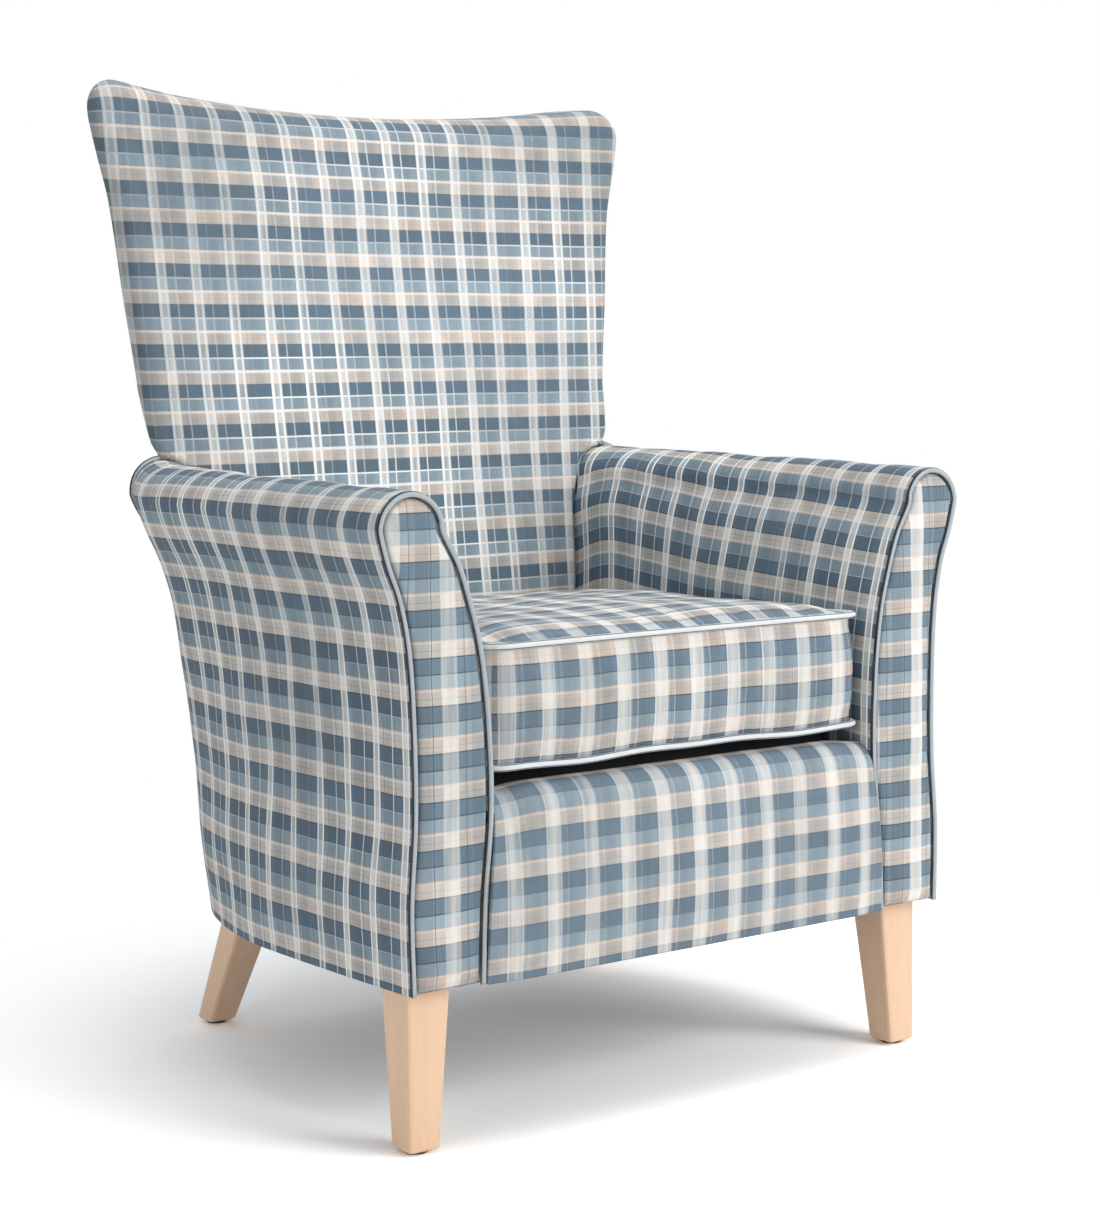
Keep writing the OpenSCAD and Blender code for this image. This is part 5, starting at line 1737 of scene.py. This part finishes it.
@dataclass
class Studio:
    """The camera of the photograph, a white floor that keeps the shadow, and soft light."""

    focal: float = 71.87
    place: Place = (-1.5864, -2.2923, 0.7686)
    azimuth: float = math.radians(-35.83)
    pitch: float = math.radians(5.69)
    roll: float = math.radians(-0.65)
    white_near: float = 0.02
    gain: float = 1.55
    # Where the floor's own shade shows, and how far from there it turns plain white
    bright_place: Place = (0.15, -0.15, 0)
    bright_reach: tuple[float, float] = (0.50, 1.05)
    sky: Colour = (0.93, 0.96, 1.0)
    sky_strength: float = 0.42
    # Each lamp's name, place, size and power
    lamps: tuple[tuple[str, Place, float, float], ...] = (
        ("key", (1.5, -3.1, 1.7), 1.8, 72),
        ("top", (0.25, -0.3, 3.0), 1.8, 40),
        ("fill", (-3.0, -1.2, 0.7), 1.4, 15),
    )

    def camera(self) -> None:
        """Sets the camera. Its back direction comes from the azimuth and the pitch, and its right
        and up directions are then turned by the roll."""
        a, p, r = self.azimuth, self.pitch, self.roll
        back = np.array([math.sin(a) * math.cos(p), -math.cos(a) * math.cos(p), math.sin(p)])
        right = np.array([math.cos(a), math.sin(a), 0.0])
        up = np.cross(back, right)
        turned = math.cos(r) * right + math.sin(r) * up
        upright = -math.sin(r) * right + math.cos(r) * up
        lens = bpy.data.cameras.new("camera")
        lens.lens, lens.sensor_width, lens.sensor_fit = self.focal, 36.0, "AUTO"
        lens.clip_start, lens.clip_end = 0.05, 60.0
        camera = bpy.data.objects.new("camera", lens)
        turn = Matrix(np.column_stack([turned, upright, back]).tolist()).to_4x4()
        camera.matrix_world = Matrix.Translation(self.place) @ turn
        bpy.context.scene.collection.objects.link(camera)
        bpy.context.scene.camera = camera

    def floor(self) -> None:
        """A wide pale floor. To the camera it is plain white from a metre off, and nearer it
        shows its own light and shade, brightened so that the lit floor is white too."""
        grid = np.stack(np.broadcast_arrays(
            np.linspace(-14, 14, 3)[:, None], np.linspace(-14, 30, 3)[None], np.zeros((1, 1))), axis=-1)
        piece = Workshop.sew("studio_floor", [Panel(grid, grid[..., :2], outward=False)])
        n = Nodes("studio_floor")
        off = n.add("ShaderNodeVectorMath", {"operation": "SUBTRACT"},
                    {0: n.object_place(), 1: self.bright_place})
        away = n.add("ShaderNodeVectorMath", {"operation": "LENGTH"}, {0: off}, out="Value")
        rays = n.tree.nodes.new("ShaderNodeLightPath")
        seen = Signal(n, rays.outputs["Is Camera Ray"]).most(Signal(n, rays.outputs["Is Glossy Ray"]))
        share = away.rise(*self.bright_reach)
        bright = n.mix(seen, (0.9, 0.9, 0.89), (self.gain, self.gain, self.gain * 0.99))
        n.finish(Base_Color=bright, Roughness=0.9, Specular_IOR_Level=0.0)
        white = n.add("ShaderNodeEmission", values={"Color": (1, 1, 1, 1), "Strength": 1.0})
        glow = n.add("ShaderNodeEmission", values={"Strength": seen * self.white_near})
        lit = n.add("ShaderNodeAddShader", values={0: Signal(n, n.shader.outputs[0]), 1: glow})
        blend = n.add("ShaderNodeMixShader", values={0: seen * share, 1: lit, 2: white})
        n.tree.links.new(blend.socket, n.output.inputs["Surface"])
        piece.data.materials.append(n.material)

    def world(self) -> None:
        """Soft light from all round, and white where the camera sees past the floor."""
        world = bpy.data.worlds.new("studio")
        bpy.context.scene.world = world
        world.use_nodes = True
        tree = world.node_tree
        tree.nodes.clear()
        path = tree.nodes.new("ShaderNodeLightPath")
        soft, white = tree.nodes.new("ShaderNodeBackground"), tree.nodes.new("ShaderNodeBackground")
        for light, colour, strength in ((soft, self.sky, self.sky_strength), (white, (1, 1, 1), 1.0)):
            light.inputs["Color"].default_value = (*colour, 1)
            light.inputs["Strength"].default_value = strength
        blend = tree.nodes.new("ShaderNodeMixShader")
        out = tree.nodes.new("ShaderNodeOutputWorld")
        seen = tree.nodes.new("ShaderNodeMath")
        seen.operation = "MAXIMUM"
        tree.links.new(path.outputs["Is Camera Ray"], seen.inputs[0])
        tree.links.new(path.outputs["Is Glossy Ray"], seen.inputs[1])
        tree.links.new(seen.outputs[0], blend.inputs[0])
        tree.links.new(soft.outputs[0], blend.inputs[1])
        tree.links.new(white.outputs[0], blend.inputs[2])
        tree.links.new(blend.outputs[0], out.inputs["Surface"])

    def lamp(self, name: str, place: Place, size: float, power: float) -> None:
        """A square white soft box that looks at the middle of the chair."""
        light = bpy.data.lights.new(name, "AREA")
        light.shape, light.size, light.energy = "SQUARE", size, power
        lamp = bpy.data.objects.new(name, light)
        back = np.array(place) - np.array([0.0, 0.0, 0.5])
        back /= np.linalg.norm(back)
        right = np.cross([0, 0, 1], back)
        right /= np.linalg.norm(right)
        turn = Matrix(np.column_stack([right, np.cross(back, right), back]).tolist()).to_4x4()
        lamp.matrix_world = Matrix.Translation(place) @ turn
        bpy.context.scene.collection.objects.link(lamp)

    def build(self) -> None:
        """Sets up the whole studio."""
        self.camera()
        self.floor()
        self.world()
        for lamp in self.lamps:
            self.lamp(*lamp)
        bpy.context.scene.view_settings.view_transform = "Standard"


def main() -> None:
    """Builds the studio and each sub-assembly in turn."""
    logging.basicConfig(level=logging.INFO, format="%(name)s: %(message)s")
    build = Build.FULL
    form = Form()
    Studio().build()
    faint = srgb(98, 112, 124)
    # The depth of each cloth below is painted shade: the one plaid is darker on the cushion, border and
    # facings and lighter on the back and arms, for how lit each piece is
    cushion_plaid = PlaidCloth(name="plaid_cushion", shift_u=0.0389, shift_v=0.0203, stripe=0.34,
                               stripe_soft=0.08, pale=0.53, chalk_lines=0.45, chalk_rows=0.12,
                               depth=0.945, top_lines=1.0).material()
    border_plaid = PlaidCloth(name="plaid_border", repeat_u=0.0466, shift_u=0.009, stripe=0.36, ink=faint,
                              stripe_soft=0.09, pale=0.50, chalk_lines=0.30, chalk_rows=0.08,
                              depth=0.935).material()
    # The back's cloth has painted light: brighter about a place low in its middle, darker toward its edges
    # and top
    back_plaid = PlaidCloth(name="plaid_back", repeat_u=0.0437, shift_u=-0.019, shift_v=-0.015, stripe=0.27,
                            stripe_soft=0.05, pale=0.52, chalk_lines=1.0, chalk_rows=1.0, depth=1.04,
                            ink=faint, line_w=2.1, slate=srgb(96, 117, 133), mist=srgb(144, 162, 172),
                            painted_light=(0.04, 0.38, 0.32)).material()
    arm_look = PlaidCloth(stripe=0.20, stripe_soft=0.035, pale=0.50, chalk_lines=1.25, chalk_rows=0.40,
                          hair_lines=1.9, depth=1.02, slate=srgb(84, 105, 122), mist=srgb(132, 150, 160),
                          peach=srgb(214, 200, 190))
    arm_shift = {Side.LEFT: (-0.0010, -0.0064), Side.RIGHT: (-0.0029, 0.0174)}
    arm_plaid = {
        side: replace(arm_look, name=f"plaid_arm_{side.name.lower()}", shift_u=u, shift_v=v).material()
        for side, (u, v) in arm_shift.items()
    }
    facing = PlaidCloth(name="plaid_facing", repeat_u=0.062, shift_u=0.004, shift_v=0.0175, pale=0.58,
                        stripe_soft=0.015, chalk_lines=0.15, chalk_rows=0.06, depth=0.975,
                        hair_lines=1.7, stone_extra=0.26).material()
    # The dark bands of both cords are painted shade in their creases
    dark = PipingCloth("dark_piping", srgb(172, 180, 185), srgb(14, 17, 23),
                       ((0.36, 0.62), (0.93, 1.01), (-0.01, 0.05))).material()
    pale = PipingCloth("pale_piping", srgb(218, 222, 223), srgb(38, 46, 56),
                       ((0.84, 0.91), (0.14, 0.21))).material()
    black = WovenCloth("black_cloth", srgb(38, 38, 41), 0.0011).material()
    felt = WovenCloth("webbing_felt", srgb(176, 172, 164), 0.002).material()
    web = WovenCloth("webbing", srgb(96, 90, 84), 0.003).material()
    log.info("dressed %d nodes of the frame", Skeleton().dress())
    suspension = Suspension(form, felt, web)
    seat = Seat(form, border_plaid, black)
    back = Back(form, back_plaid)
    cushion = Cushion(form, cushion_plaid, pale)
    steps = [suspension.spring_sheet, suspension.straps, seat.platform, seat.dust_sheet, seat.border,
             back.inside, back.outside]
    for side in Side:
        arm = Arm(form, side, arm_plaid[side], facing, dark)
        steps += [arm.cover, arm.facing, arm.facing_cord, arm.rear_tuck]
    pieces = [step() for step in steps] + [cushion.body(build)]
    pieces += [cushion.cord("top", cushion.low + cushion.thick), cushion.cord("bottom", cushion.low)]
    for piece in pieces:
        log.info("made %s with %d faces", piece.name, len(piece.data.polygons))


if __name__ == "__main__":
    main()
